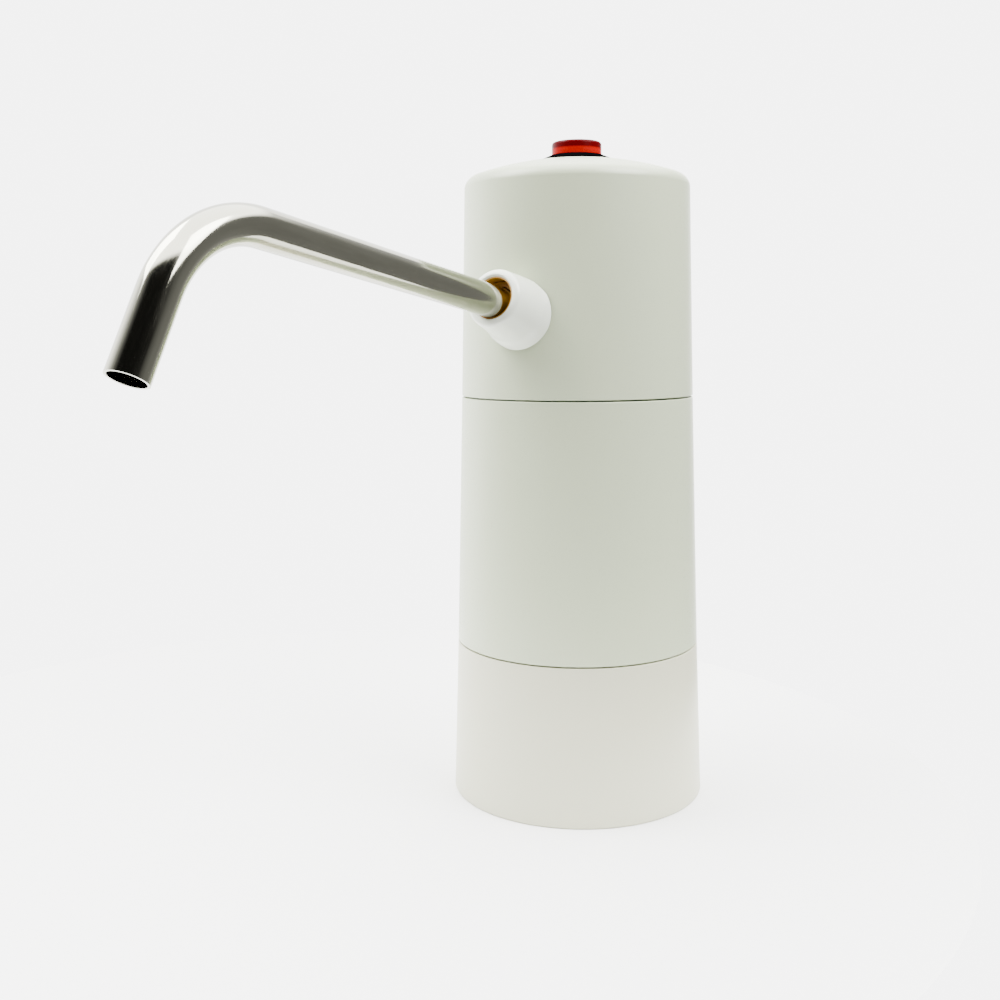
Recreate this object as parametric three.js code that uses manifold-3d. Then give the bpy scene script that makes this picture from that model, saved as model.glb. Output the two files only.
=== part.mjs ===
// Electric water pump for a drinking-water jug.
// A tapered white column stands on the jug's neck: a neck skirt, a battery section and a pump head.
// A push button on the crown runs a small gear pump, which sends the water out of a bent steel spout.
// Millimetres, +Z up. The origin is on the column's axis at its bottom rim, and the spout points to -Y.
import * as THREE from 'three';
import { mergeVertices } from 'three/addons/utils/BufferGeometryUtils.js';
import Module from 'manifold-3d';

const wasm = await Module();
wasm.setup();

const { degToRad } = THREE.MathUtils;

// Fits shared by the whole pump
const clearance = 0.3;
const seatGap = 0.2;
const overrun = 1;
const nutSides = 6;
const rightAngle = 90;

// Column: three sections that draw in a little towards the top
const skirtSpace = 12.5;
const skirtLength = 48.3;
const skirtDraw = 1.35;
const sleeveDraw = 1.75;
const headDraw = 1.2;
const headroom = 0.72;
const seamGap = 0.5;
const wall = 2.5;
const rimRound = 0.6;

// Crown: a rounded shoulder, a shallow dome and a flat seat for the button
const shoulderRound = 4;
const domeRadius = 102;
const crownSeatRadius = 12.4;
const crownThickness = 3.2;
const crownPadRadius = 14.5;

// Neck socket in the skirt, for a 55 mm jug neck
const neckRadius = 27.5;
const socketDepth = 43.5;
const ceilingThickness = 3.5;
const neckRingWall = 2;
const neckRingRise = 9;
const skirtRibCount = 12;
const skirtRibThickness = 1.6;
const skirtRibRise = 5;
const lowerSpigotHeight = 6;
const lowerSpigotWall = 2;

// Gasket that lines the neck ring and grips the jug with three lips
const gasketWall = 1.7;
const gasketBoreGap = 0.5;
const gasketLipGrip = 0.4;
const gasketLipHeight = 2.4;
const gasketLipCount = 3;
const gasketFlangeHeight = 2.4;
const gasketFlangeReach = 1.6;

// Suction fitting through the socket ceiling
const suctionBarbRadius = 4;
const suctionBarbLength = 12;
const suctionFlangeRadius = 9;
const suctionFlangeHeight = 2.2;
const suctionThreadRadius = 5;
const suctionNutFlats = 16;
const suctionNutHeight = 3.6;
const suctionWasherHeight = 1.2;

// Hoses and the barbs that they push on to
const hoseWall = 1.1;
const barbRadius = 2.9;
const waterwayRadius = 2.1;
const barbLength = 6;
const hoseOverlap = 5;
const barbRidgeHeight = 0.25;
const barbRidgeCount = 2;
const riserReachShare = 0.4;
const outletReachShare = 1.227;

// Tie rods that clamp skirt, battery section and pump head together
const tieRodCount = 3;
const tieRodFirstAngle = 30;
const tieRodInset = 3;
const tieRodRadius = 1.5;
const tieRodHeadRadius = 2.8;
const tieRodHeadHeight = 1.6;
const tieRodHeadEdge = 0.4;

// Battery tray and the two cells that stand in it
const trayThickness = 2.5;
const cellRadius = 9.2;
const cellLength = 65;
const cellSpacing = 21.2;
const cellOffset = 16.5;
const cellTerminalRadius = 3;
const cellTerminalHeight = 1;
const cellHeadroom = 2.4;
const cellEdgeRound = 0.8;
const cellCupWall = 1.5;
const cellCupHeight = 9;
const cellBandHeight = 8;
const cellBandRise = 34;
const cellLinkThickness = 0.4;
const cellLinkWidth = 7;

// Control board, its guides and the charging socket at the back
const boardWidth = 36;
const boardHeight = 44;
const boardThickness = 1.6;
const boardOffset = 22;
const boardGrip = 1.3;
const guideWidth = 3.5;
const guideDepth = 5.2;
const guideHeight = 20;
const coilRadius = 4;
const coilHeight = 3;
const chipSize = 6;
const chipHeight = 1.6;
const partsPlaceShare = 0.25;
const chipRiseShare = 0.67;
const chargeHeight = 64;
const chargeBlockWidth = 9;
const chargeBlockDepth = 9;
const chargeNoseRadius = 4;
const chargeBoreRadius = 2.75;
const chargePinRadius = 1;
const chargeRecess = 0.5;
const chargeBoreStart = 2.2;
const chargePinStart = 1.1;

// Upper spigot and the deck that carries the pump
const upperSpigotDepth = 8;
const upperSpigotWall = 2;
const deckThickness = 3;
const deckBossLength = 8;
const deckBossRadius = 3.2;
const headBossHeight = 14;
const headBossRadius = 3.2;
const headBossInset = 3.7;
const headBossCount = 3;
const headBossFirstAngle = 60;

// Screws that go up through the deck
const screwRadius = 1.25;
const screwHeadRadius = 2.3;
const screwHeadHeight = 1.6;
const screwBite = 9;

// Gear pump
const pumpOffset = 12;
const gearModule = 1;
const gearTeeth = 10;
const gearAddendum = 0.8;
const gearDedendum = 1.05;
const gearPressureAngle = 20;
const gearBacklash = 0.25;
const gearHeight = 8;
const gearCaseClearance = 0.3;
const pumpBlockWidth = 21;
const pumpBlockLength = 30;
const pumpBlockRound = 3.5;
const pumpCoverHeight = 2.5;
const pumpPlateHeight = 3;
const pumpScrewInset = 2.9;
const pumpScrewEnd = 0.75;
const portInset = 5.4;
const shaftRadius = 1.5;
const pinEngagement = 1.3;
const sealRadius = 4;
const sealHeight = 1.5;

// Motor
const motorRadius = 12.2;
const motorLength = 30.8;
const motorCanWall = 0.8;
const bushRadius = 3;
const bushFlangeRadius = 4.2;
const bushFlangeHeight = 1.2;
const bushNoseHeight = 1.1;
const magnetThickness = 1.9;
const magnetOverlap = 1;
const magnetRise = 6;
const magnetSpan = 130;
const rotorGap = 0.5;
const commutatorEndGap = 1.5;
const rotorPoles = 3;
const poleWidth = 2.8;
const poleShoeThickness = 1.6;
const poleShoeSpan = 96;
const windingThickness = 1.7;
const rotorHubRadius = 3;
const commutatorRadius = 2.6;
const commutatorLength = 4.4;
const endCapHeight = 2.1;
const endCapFlangeHeight = 1.2;
const brushWidth = 2.4;
const brushLength = 2.2;
const bladeThickness = 0.6;
const bladeWidth = 2.8;
const bladeStandOut = 3.4;

// Spout tube: it rises outwards, bends over and points down
const spoutAboveDeck = 26.55;
const spoutRise = 8.64;
const spoutRadius = 4.76;
const spoutWall = 0.6;
const spoutStraight = 144.2;
const spoutBendRadius = 27.6;
const spoutBendAngle = 72.2;
const spoutTail = 19.2;

// Spout holder on the deck
const holderRadius = 8.6;
const holderBack = 12.5;
const holderBackWall = 2.5;
const chamberLength = 5.3;
const chamberRadius = 3.6;
const holderPillarWidth = 7;
const holderPillarDepth = 12;
const holderFootWidth = 21.6;
const holderFootHeight = 2.5;
const holderScrewSpacing = 15.6;
const oRingSection = 1;
const oRingSetback = 5;

// Collar where the spout leaves the housing
const collarRise = 16;
const collarLength = 13.2;
const tubeBelowCentre = 1.2;
const collarNoseRadius = 8.6;
const collarFlare = 6.5;
const collarNoseRound = 1.5;
const collarHoleRadius = 6.4;
const collarHoleRound = 0.5;
const collarLipLength = 3;
const collarCavityRadius = 7.5;
const collarSpigotRadius = 9;
const collarFilletHeight = 2.2;
const collarFilletReach = 0.7;
const collarFilletShare = 0.25;
const glandRadius = 6.5;
const glandLength = 6;

// Push button on the crown
const bezelRadius = 11.7;
const bezelHeight = 1.75;
const bezelEdge = 0.35;
const bezelTopRadius = 8.5;
const barrelRadius = 9;
const barrelLength = 19.5;
const barrelBoreRadius = 6.2;
const capRadius = 7.87;
const capHeight = 4.45;
const capRound = 0.9;
const capStemRadius = 2.8;
const capRecessDepth = 2;
const capWall = 1.3;
const buttonTravel = 1.6;
const recessFloorThickness = 5.2;
const plungerRadius = 5.8;
const plungerHeight = 8;
const plungerWall = 1;
const plungerCupDepth = 4;
const bridgeThickness = 0.5;
const bridgeWidth = 1.2;
const contactGap = 0.1;
const springRadius = 3.9;
const springWire = 0.5;
const springCoils = 4;
const switchBaseHeight = 3.5;
const switchBaseSpigot = 2;
const bladeSpacing = 10.4;
const contactWidth = 2;
const switchBladeStandOut = 5;
const switchNutFlats = 23;
const switchNutHeight = 3;
const switchWasherRadius = 11.6;
const switchWasherHeight = 0.6;

// Smoothness of round forms
const columnSides = 36;
const largeSides = 20;
const middleSides = 14;
const smallSides = 10;
const fineSides = 8;
const tubeSides = 18;
const roundSteps = 3;
const domeSteps = 4;
const bendSteps = 10;
const hoseSteps = 8;
const springStepsPerCoil = 8;
const springSides = 4;
const flankSteps = 2;

// Sizes that follow from the ones above
const rimRadius = neckRadius + skirtSpace;
const lowerSeamHeight = skirtLength;
const lowerSeamRadius = rimRadius - skirtDraw;
const upperSeamRadius = lowerSeamRadius - sleeveDraw;
const shoulderRadius = upperSeamRadius - headDraw;
const socketCeiling = socketDepth + ceilingThickness;
const trayLow = socketCeiling + seatGap;
const trayTop = trayLow + trayThickness;
const cellLow = trayTop + seatGap;
const cellLinkLow = cellLow + cellLength + cellTerminalHeight + seatGap;

// The pump deck stands over the cells, and the upper seam over the deck
const deckLow = cellLinkLow + cellLinkThickness + cellHeadroom;
const deckTop = deckLow + deckThickness;
const upperSeamHeight = deckLow + upperSpigotDepth;
const spoutAxisHeight = deckTop + spoutAboveDeck;

// The collar's axis passes over the tube's axis at the mouth, by the tube's place in the hole
const collarReach = upperSeamRadius / Math.cos(degToRad(collarRise)) + collarLength;
const collarAxisHeight = spoutAxisHeight + tubeBelowCentre - collarReach * Math.sin(degToRad(collarRise))
  + collarReach * Math.cos(degToRad(collarRise)) * Math.tan(degToRad(spoutRise));
const lowerSeamLow = lowerSeamHeight - seamGap / 2;
const lowerSeamHigh = lowerSeamHeight + seamGap / 2;
const upperSeamLow = upperSeamHeight - seamGap / 2;
const upperSeamHigh = upperSeamHeight + seamGap / 2;
const trayHoleRadius = nutCorner(suctionNutFlats) + clearance;
const neckRingInner = neckRadius + gasketBoreGap + gasketWall + clearance;
const neckRingOuter = neckRingInner + neckRingWall;
const hoseInner = barbRadius + clearance;
const hoseOuter = hoseInner + hoseWall;
const suctionBarbTop = socketCeiling + 2 * seatGap + suctionNutHeight + 2 * barbLength;

const spigotOuter = upperSeamRadius - wall - clearance;
const spigotInner = spigotOuter - upperSpigotWall;
const tieRodCircle = neckRadius - tieRodInset;
const headBossCircle = spigotInner - headBossInset;

const pitchRadius = gearModule * gearTeeth / 2;
const gearTipRadius = pitchRadius + gearAddendum * gearModule;
const gearRootRadius = pitchRadius - gearDedendum * gearModule;
const gearCaseRadius = gearTipRadius + gearCaseClearance;
const driveOffset = pumpOffset + pitchRadius;
const idlerOffset = pumpOffset - pitchRadius;
const pumpBodyHeight = gearHeight + 2 * seatGap;
const pumpCoverLow = deckTop + seatGap;
const pumpBodyLow = pumpCoverLow + pumpCoverHeight + seatGap;
const pumpPlateLow = pumpBodyLow + pumpBodyHeight + seatGap;
const motorLow = pumpPlateLow + pumpPlateHeight + clearance;
const outletHeight = pumpBodyLow + pumpBodyHeight / 2;

// The crown stands as high as the motor, the switch above it and the room between them need
const motorTop = motorLow + motorLength + seatGap + endCapFlangeHeight + bladeStandOut;
const crownHeight = motorTop + headroom + switchBladeStandOut + switchBaseHeight + barrelLength;
const crownUnderside = crownHeight - crownThickness;
const domeCentre = crownHeight - Math.sqrt(domeRadius ** 2 - crownSeatRadius ** 2);
const shoulderHeight = domeCentre
  + Math.sqrt((domeRadius - shoulderRound) ** 2 - (shoulderRadius - shoulderRound) ** 2);

const magnetOuter = motorRadius - motorCanWall - clearance;
const rotorRadius = magnetOuter - magnetThickness - rotorGap;
const capFace = motorLength - endCapHeight + seatGap;
const rotorLow = magnetRise + magnetOverlap;
const rotorLength = capFace - commutatorEndGap - commutatorLength - rotorLow;
const magnetLength = rotorLength + 2 * magnetOverlap;
const bladePlace = commutatorRadius + clearance + brushLength + bladeThickness / 2;

const holderPort = holderBack + holderBackWall + chamberLength / 2;
const holderFront = (columnRadius(spoutAxisHeight) - wall - clearance) / Math.cos(degToRad(spoutRise))
  - holderRadius * Math.tan(degToRad(spoutRise)) - clearance;
const tubeStart = holderBack + holderBackWall + chamberLength + clearance;
const oRingPlace = holderFront - oRingSetback;

const bezelLow = crownHeight + seatGap;
const bezelTop = bezelLow + bezelHeight;
const capLow = bezelTop - seatGap;
const recessFloor = capLow - buttonTravel - clearance;
const lipLow = recessFloor - recessFloorThickness;
const barrelLow = bezelLow - barrelLength;
const switchBoreRadius = barrelRadius + clearance;
const plungerTop = lipLow - clearance;
const plungerLow = plungerTop - plungerHeight;
const bridgeLow = plungerLow - seatGap - bridgeThickness;
const contactTop = bridgeLow - buttonTravel - contactGap;

// Distance from a nut's axis to its corners
function nutCorner(flats) {
  return flats / 2 / Math.cos(Math.PI / nutSides);
}

// Radius of the column's outer face at a height, straight between the section ends
function columnRadius(height) {
  const ends = [
    [0, rimRadius],
    [lowerSeamHeight, lowerSeamRadius],
    [upperSeamHeight, upperSeamRadius],
    [shoulderHeight, shoulderRadius],
  ];
  const upper = Math.max(1, ends.findIndex(([level]) => level >= height));
  const [lowLevel, lowRadius] = ends[upper - 1];
  const [highLevel, highRadius] = ends[upper];
  return lowRadius + (highRadius - lowRadius) * (height - lowLevel) / (highLevel - lowLevel);
}

// A geometry with shared corners merged and empty triangles dropped, so that it is a closed mesh
function weld(geometry) {
  geometry.deleteAttribute('normal');
  geometry.deleteAttribute('uv');
  const welded = mergeVertices(geometry);
  const corners = welded.index.array;
  const kept = [];
  for (let i = 0; i < corners.length; i += 3) {
    const [a, b, c] = corners.slice(i, i + 3);
    if (a !== b && b !== c && c !== a) kept.push(a, b, c);
  }
  welded.setIndex(kept);
  return welded;
}

function toSolid(geometry) {
  const vertProperties = new Float32Array(geometry.attributes.position.array);
  const triVerts = new Uint32Array(geometry.index.array);
  return new wasm.Manifold(new wasm.Mesh({ numProp: 3, vertProperties, triVerts }));
}

function toGeometry(solid) {
  const mesh = solid.getMesh();
  const geometry = new THREE.BufferGeometry();
  geometry.setAttribute('position', new THREE.BufferAttribute(mesh.vertProperties, 3));
  geometry.setIndex(new THREE.BufferAttribute(mesh.triVerts, 1));
  return geometry;
}

function join(first, ...others) {
  return toGeometry(others.reduce((solid, other) => solid.add(toSolid(other)), toSolid(first)));
}

function cut(first, ...others) {
  return toGeometry(others.reduce((solid, other) => solid.subtract(toSolid(other)), toSolid(first)));
}

// A revolved solid. The profile lists [radius, height] and closes on itself or on the axis.
function lathe(profile, sides) {
  const points = profile.map(([radius, height]) => new THREE.Vector2(radius, height));
  if (points[0].x > 0) points.push(points[0].clone());
  if (THREE.ShapeUtils.area(points) < 0) points.reverse();
  return weld(new THREE.LatheGeometry(points, sides).rotateX(Math.PI / 2));
}

// A flat shape in XY, raised from one height to another. An arc in it gets the given number of sides.
function prism(shape, low, high, sides) {
  const options = { depth: high - low, bevelEnabled: false, curveSegments: sides / 2 };
  return weld(new THREE.ExtrudeGeometry(shape, options).translate(0, 0, low));
}

function box(width, depth, height, x, y, z) {
  return weld(new THREE.BoxGeometry(width, depth, height).translate(x, y, z));
}

function rod(radius, low, high, sides, x = 0, y = 0) {
  return lathe([[0, low], [radius, low], [radius, high], [0, high]], sides).translate(x, y, 0);
}

function ring(outer, inner, low, high, sides) {
  return lathe([[inner, low], [outer, low], [outer, high], [inner, high]], sides);
}

// Points on an arc in a profile, with angles in radians from the radius direction
function arcPoints(centreRadius, centreHeight, radius, from, to, steps) {
  return Array.from({ length: steps + 1 }, (_, i) => {
    const angle = from + (to - from) * i / steps;
    return [centreRadius + radius * Math.cos(angle), centreHeight + radius * Math.sin(angle)];
  });
}

function hexagon(flats, holeRadius) {
  const corner = nutCorner(flats);
  const points = Array.from({ length: nutSides }, (_, i) => {
    const angle = 2 * Math.PI * i / nutSides;
    return new THREE.Vector2(corner * Math.cos(angle), corner * Math.sin(angle));
  });
  const shape = new THREE.Shape(points);
  shape.holes.push(new THREE.Path().absarc(0, 0, holeRadius, 0, 2 * Math.PI));
  return shape;
}

// A path made of several curves, each with its own number of steps
class SteppedPath extends THREE.Curve {
  constructor(stretches) {
    super();
    this.stretches = stretches;
    this.steps = stretches.reduce((sum, [, steps]) => sum + steps, 0);
  }

  getPoint(t) {
    let step = t * this.steps;
    for (const [curve, steps] of this.stretches) {
      if (step <= steps) return curve.getPoint(step / steps);
      step -= steps;
    }
    const [lastCurve] = this.stretches.at(-1);
    return lastCurve.getPoint(1);
  }

  // The steps stay where the stretches put them, instead of evenly along the length
  getUtoTmapping(u) {
    return u;
  }
}

// An arc that starts along +Z and turns towards -Y
class DownwardBend extends THREE.Curve {
  constructor(start, radius, angle) {
    super();
    this.start = start;
    this.radius = radius;
    this.angle = angle;
  }

  getPoint(t) {
    const turned = this.angle * t;
    const fall = this.radius * (1 - Math.cos(turned));
    const advance = this.radius * Math.sin(turned);
    return new THREE.Vector3(0, -fall, advance).add(this.start);
  }
}

// A helix that climbs along +Z
class Helix extends THREE.Curve {
  constructor(radius, low, high, coils) {
    super();
    this.radius = radius;
    this.low = low;
    this.high = high;
    this.coils = coils;
  }

  getPoint(t) {
    const angle = 2 * Math.PI * this.coils * t;
    const height = this.low + (this.high - this.low) * t;
    return new THREE.Vector3(this.radius * Math.cos(angle), this.radius * Math.sin(angle), height);
  }
}

function sweep(path, outer, inner, sides, steps) {
  const shape = new THREE.Shape().absarc(0, 0, outer, 0, 2 * Math.PI);
  if (inner > 0) shape.holes.push(new THREE.Path().absarc(0, 0, inner, 0, 2 * Math.PI));
  const options = { extrudePath: path, steps, curveSegments: sides / 2, bevelEnabled: false };
  return weld(new THREE.ExtrudeGeometry(shape, options));
}

const up = new THREE.Vector3(0, 0, 1);
const down = new THREE.Vector3(0, 0, -1);
const right = new THREE.Vector3(1, 0, 0);

// Places evenly spaced on a circle around the column's axis
function circlePlaces(radius, count, firstAngle) {
  return Array.from({ length: count }, (_, i) => {
    const angle = degToRad(firstAngle) + 2 * Math.PI * i / count;
    return [radius * Math.cos(angle), radius * Math.sin(angle), angle];
  });
}

const tieRodPlaces = circlePlaces(tieRodCircle, tieRodCount, tieRodFirstAngle);
const headBossPlaces = circlePlaces(headBossCircle, headBossCount, headBossFirstAngle);
const pumpScrewPlaces = [[-1, -1], [1, -1], [1, 1], [-1, 1]].map(([across, along]) => [
  across * (pumpBlockWidth / 2 - pumpScrewInset),
  pumpOffset + along * (pumpBlockLength / 2 - pumpScrewInset),
]);
const holderFootCentre = -(holderPort + holderPillarDepth / 2) * Math.cos(degToRad(spoutRise));
const holderScrewPlaces = [-1, 1].map((side) => [side * holderScrewSpacing / 2, holderFootCentre]);

// Frame of the spout tube: local +Z runs outwards along the tube, local +Y points up
const spoutFrame = new THREE.Matrix4()
  .makeTranslation(0, 0, spoutAxisHeight)
  .multiply(new THREE.Matrix4().makeRotationX(Math.PI / 2 - degToRad(spoutRise)));
const collarFrame = new THREE.Matrix4()
  .makeTranslation(0, 0, collarAxisHeight)
  .multiply(new THREE.Matrix4().makeRotationX(Math.PI / 2 - degToRad(collarRise)));

// Finishes
const finish = (color, roughness, metalness = 0) => (
  new THREE.MeshStandardMaterial({ color, roughness, metalness })
);
const whitePlastic = finish(0xe6eae2, 0.32);
const creamPlastic = finish(0xeeebe0, 0.4);
const collarPlastic = finish(0xf0f2ee, 0.28);
const greyPlastic = finish(0x9fa3a3, 0.55);
const blackPlastic = finish(0x121314, 0.25);
const redLens = finish(0xc8100c, 0.18);
const clearPlastic = finish(0xd9d4c2, 0.35);
const amberRubber = finish(0x8a6a1e, 0.5);
const blackRubber = finish(0x1c1c1d, 0.8);
const greyRubber = finish(0xb8bab6, 0.75);
const brushedSteel = finish(0xb4b2ab, 0.28, 1);
const zincSteel = finish(0xb9bcc0, 0.35, 1);
const motorSteel = finish(0xa9adb0, 0.3, 1);
const copper = finish(0xb8703c, 0.35, 1);
const brass = finish(0xc2a04f, 0.3, 1);
const nickel = finish(0xbfbfb8, 0.3, 1);
const ferrite = finish(0x3a3a3d, 0.7);
const boardGreen = finish(0x1f6b3a, 0.5);
const cellWrap = finish(0x2f6fae, 0.4);

function piece(parent, name, geometry, material) {
  geometry.computeVertexNormals();
  const mesh = new THREE.Mesh(geometry, material);
  mesh.name = name;
  parent.add(mesh);
  return mesh;
}

// Neck skirt: outer wall, socket ceiling, neck ring and spigot are one revolved moulding
function baseSkirt() {
  const skirtSpigotOuter = columnRadius(lowerSeamHeight + lowerSpigotHeight) - wall - clearance;
  const skirtSpigotInner = skirtSpigotOuter - lowerSpigotWall;
  const spigotTop = lowerSeamHeight + lowerSpigotHeight;
  const fittingHole = suctionThreadRadius + clearance;
  const innerWallAtCeiling = columnRadius(socketDepth) - wall;
  const moulding = lathe([
    [rimRadius - wall, 0],
    [rimRadius - rimRound, 0],
    [columnRadius(rimRound), rimRound],
    [columnRadius(lowerSeamLow), lowerSeamLow],
    [skirtSpigotOuter, lowerSeamLow],
    [skirtSpigotOuter, spigotTop],
    [skirtSpigotInner, spigotTop],
    [skirtSpigotInner, socketCeiling],
    [fittingHole, socketCeiling],
    [fittingHole, socketDepth],
    [neckRingInner, socketDepth],
    [neckRingInner, neckRingRise],
    [neckRingOuter, neckRingRise],
    [neckRingOuter, socketDepth],
    [innerWallAtCeiling, socketDepth],
  ], columnSides);
  const ribInner = neckRingOuter - neckRingWall / 2;
  const ribOuter = innerWallAtCeiling + wall / 2;
  const ribTop = socketDepth + ceilingThickness / 2;
  const ribs = circlePlaces((ribInner + ribOuter) / 2, skirtRibCount, 0).map(([x, y, angle]) => (
    box(ribOuter - ribInner, skirtRibThickness, ribTop - neckRingRise - skirtRibRise, 0, 0, 0)
      .rotateZ(angle)
      .translate(x, y, (ribTop + neckRingRise + skirtRibRise) / 2)
  ));
  const holes = tieRodPlaces.map(([x, y]) => countersunkCutter().translate(x, y, socketDepth));
  return cut(join(moulding, ...ribs), ...holes);
}

// Cutter for a countersunk hole whose head lies level with the face at height zero
function countersunkCutter() {
  const shank = tieRodRadius + clearance;
  const head = tieRodHeadRadius + clearance;
  return lathe([
    [0, -overrun],
    [head, -overrun],
    [head, tieRodHeadEdge + seatGap],
    [shank, tieRodHeadHeight + clearance],
    [shank, ceilingThickness + overrun],
    [0, ceilingThickness + overrun],
  ], smallSides);
}

function neckGasket() {
  const outer = neckRingInner - clearance;
  const bore = outer - gasketWall;
  const lip = neckRadius - gasketLipGrip;
  const top = socketDepth - clearance;
  const flangeTop = neckRingRise - seatGap;
  const flangeLow = flangeTop - gasketFlangeHeight;
  const lipPitch = (top - flangeLow) / gasketLipCount;
  const lips = [];
  for (let i = 0; i < gasketLipCount; i += 1) {
    const level = top - lipPitch * (i + 1 / 2);
    lips.push([bore, level + gasketLipHeight / 2]);
    lips.push([lip, level]);
    lips.push([bore, level - gasketLipHeight / 2]);
  }
  return lathe([
    [bore, flangeLow],
    [outer + gasketFlangeReach, flangeLow],
    [outer + gasketFlangeReach, flangeTop],
    [outer, flangeTop],
    [outer, top],
    [bore, top],
    ...lips,
  ], largeSides);
}

// A pipe end with saw-tooth ridges, as [radius, height] from its root to its tip
function barbProfile(radius, root, tip) {
  const pitch = (tip - root) / (barbRidgeCount + 1);
  const profile = [[radius, root]];
  for (let ridge = 1; ridge <= barbRidgeCount; ridge += 1) {
    profile.push([radius, root + ridge * pitch], [radius + barbRidgeHeight, root + ridge * pitch]);
  }
  return [...profile, [radius, tip]];
}

function suctionFitting() {
  const flangeTop = socketDepth - suctionWasherHeight - 2 * seatGap;
  const flangeLow = flangeTop - suctionFlangeHeight;
  const barbRoot = suctionBarbTop - barbLength;
  return lathe([
    [waterwayRadius, flangeLow - suctionBarbLength],
    ...barbProfile(suctionBarbRadius, flangeLow, flangeLow - suctionBarbLength).reverse(),
    [suctionFlangeRadius, flangeLow],
    [suctionFlangeRadius, flangeTop],
    [suctionThreadRadius, flangeTop],
    [suctionThreadRadius, barbRoot],
    ...barbProfile(barbRadius - barbRidgeHeight, barbRoot, suctionBarbTop),
    [waterwayRadius, suctionBarbTop],
  ], middleSides);
}

function tieRod() {
  const length = deckLow - socketDepth - seatGap;
  return lathe([
    [0, 0],
    [tieRodHeadRadius, 0],
    [tieRodHeadRadius, tieRodHeadEdge],
    [tieRodRadius, tieRodHeadHeight],
    [tieRodRadius, length],
    [0, length],
  ], fineSides);
}

// Battery section: a plain sleeve with a hole for the charging socket
function midHousing() {
  const sleeve = lathe([
    [columnRadius(lowerSeamHigh) - wall, lowerSeamHigh],
    [columnRadius(lowerSeamHigh), lowerSeamHigh],
    [columnRadius(upperSeamLow), upperSeamLow],
    [columnRadius(upperSeamLow) - wall, upperSeamLow],
  ], columnSides);
  const hole = rod(chargeNoseRadius + clearance, boardOffset, lowerSeamRadius + overrun, middleSides)
    .rotateX(-Math.PI / 2)
    .translate(0, 0, chargeHeight);
  return cut(sleeve, hole);
}

function batteryTray() {
  const spigotBore = columnRadius(lowerSeamHeight + lowerSpigotHeight) - wall - clearance
    - lowerSpigotWall;
  const plate = ring(spigotBore - clearance, trayHoleRadius, trayLow, trayTop, largeSides);
  const cupInner = cellRadius + clearance;
  const cupOuter = cupInner + cellCupWall;
  const cellSides = [-1, 1];
  const plateMiddle = (trayLow + trayTop) / 2;
  const cupTop = trayTop + cellCupHeight;
  const cups = cellSides.map((side) => (
    rod(cupOuter, plateMiddle, cupTop, middleSides, side * cellSpacing / 2, -cellOffset)
  ));
  const bores = cellSides.map((side) => (
    rod(cupInner, trayTop, cupTop + overrun, middleSides, side * cellSpacing / 2, -cellOffset)
  ));
  const guideX = boardWidth / 2 - boardGrip + guideWidth / 2;
  const guides = cellSides.map((side) => (
    box(guideWidth, guideDepth, guideHeight + trayThickness / 2, side * guideX, boardOffset,
      plateMiddle + (guideHeight + trayThickness / 2) / 2)
  ));
  const slot = box(boardWidth + 2 * clearance, boardThickness + 2 * clearance, guideHeight + overrun,
    0, boardOffset, trayTop + (guideHeight + overrun) / 2);
  const centreHole = rod(trayHoleRadius, trayLow - overrun, cupTop + overrun, middleSides);
  const rodHoles = tieRodPlaces.map(([x, y]) => (
    rod(tieRodRadius + clearance, trayLow - overrun, trayTop + overrun, smallSides, x, y)
  ));
  return cut(join(plate, ...cups, ...guides), ...bores, slot, centreHole, ...rodHoles);
}

function cell() {
  return lathe([
    [0, 0],
    [cellRadius - cellEdgeRound, 0],
    [cellRadius, cellEdgeRound],
    [cellRadius, cellLength - cellEdgeRound],
    [cellRadius - cellEdgeRound, cellLength],
    [cellTerminalRadius, cellLength],
    [cellTerminalRadius, cellLength + cellTerminalHeight],
    [0, cellLength + cellTerminalHeight],
  ], middleSides);
}

// Spacer band that holds the two cells together, an eight-shaped strip
function cellBand() {
  const inner = cellRadius + clearance;
  const outer = inner + cellCupWall;
  const low = cellLow + cellBandRise;
  const high = low + cellBandHeight;
  const halves = [-1, 1].map((side) => rod(outer, low, high, middleSides, side * cellSpacing / 2));
  const bores = [-1, 1].map((side) => (
    rod(inner, low - overrun, high + overrun, middleSides, side * cellSpacing / 2)
  ));
  return cut(join(...halves), ...bores).translate(0, -cellOffset, 0);
}

function cellLink() {
  return box(cellSpacing + cellLinkWidth, cellLinkWidth, cellLinkThickness,
    0, -cellOffset, cellLinkLow + cellLinkThickness / 2);
}

// Control board with its coil and its chip
function controlBoard() {
  const low = trayTop + seatGap;
  const face = -boardThickness / 2;
  const sheet = box(boardWidth, boardThickness, boardHeight, 0, 0, low + boardHeight / 2);
  const coil = rod(coilRadius, 0, coilHeight + boardThickness / 2, middleSides)
    .rotateX(Math.PI / 2)
    .translate(boardWidth * partsPlaceShare, 0, low + boardHeight / 2);
  const chip = box(chipSize, chipHeight * 2, chipSize,
    -boardWidth * partsPlaceShare, face, low + boardHeight * chipRiseShare);
  return join(sheet, coil, chip).translate(0, boardOffset, 0);
}

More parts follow.
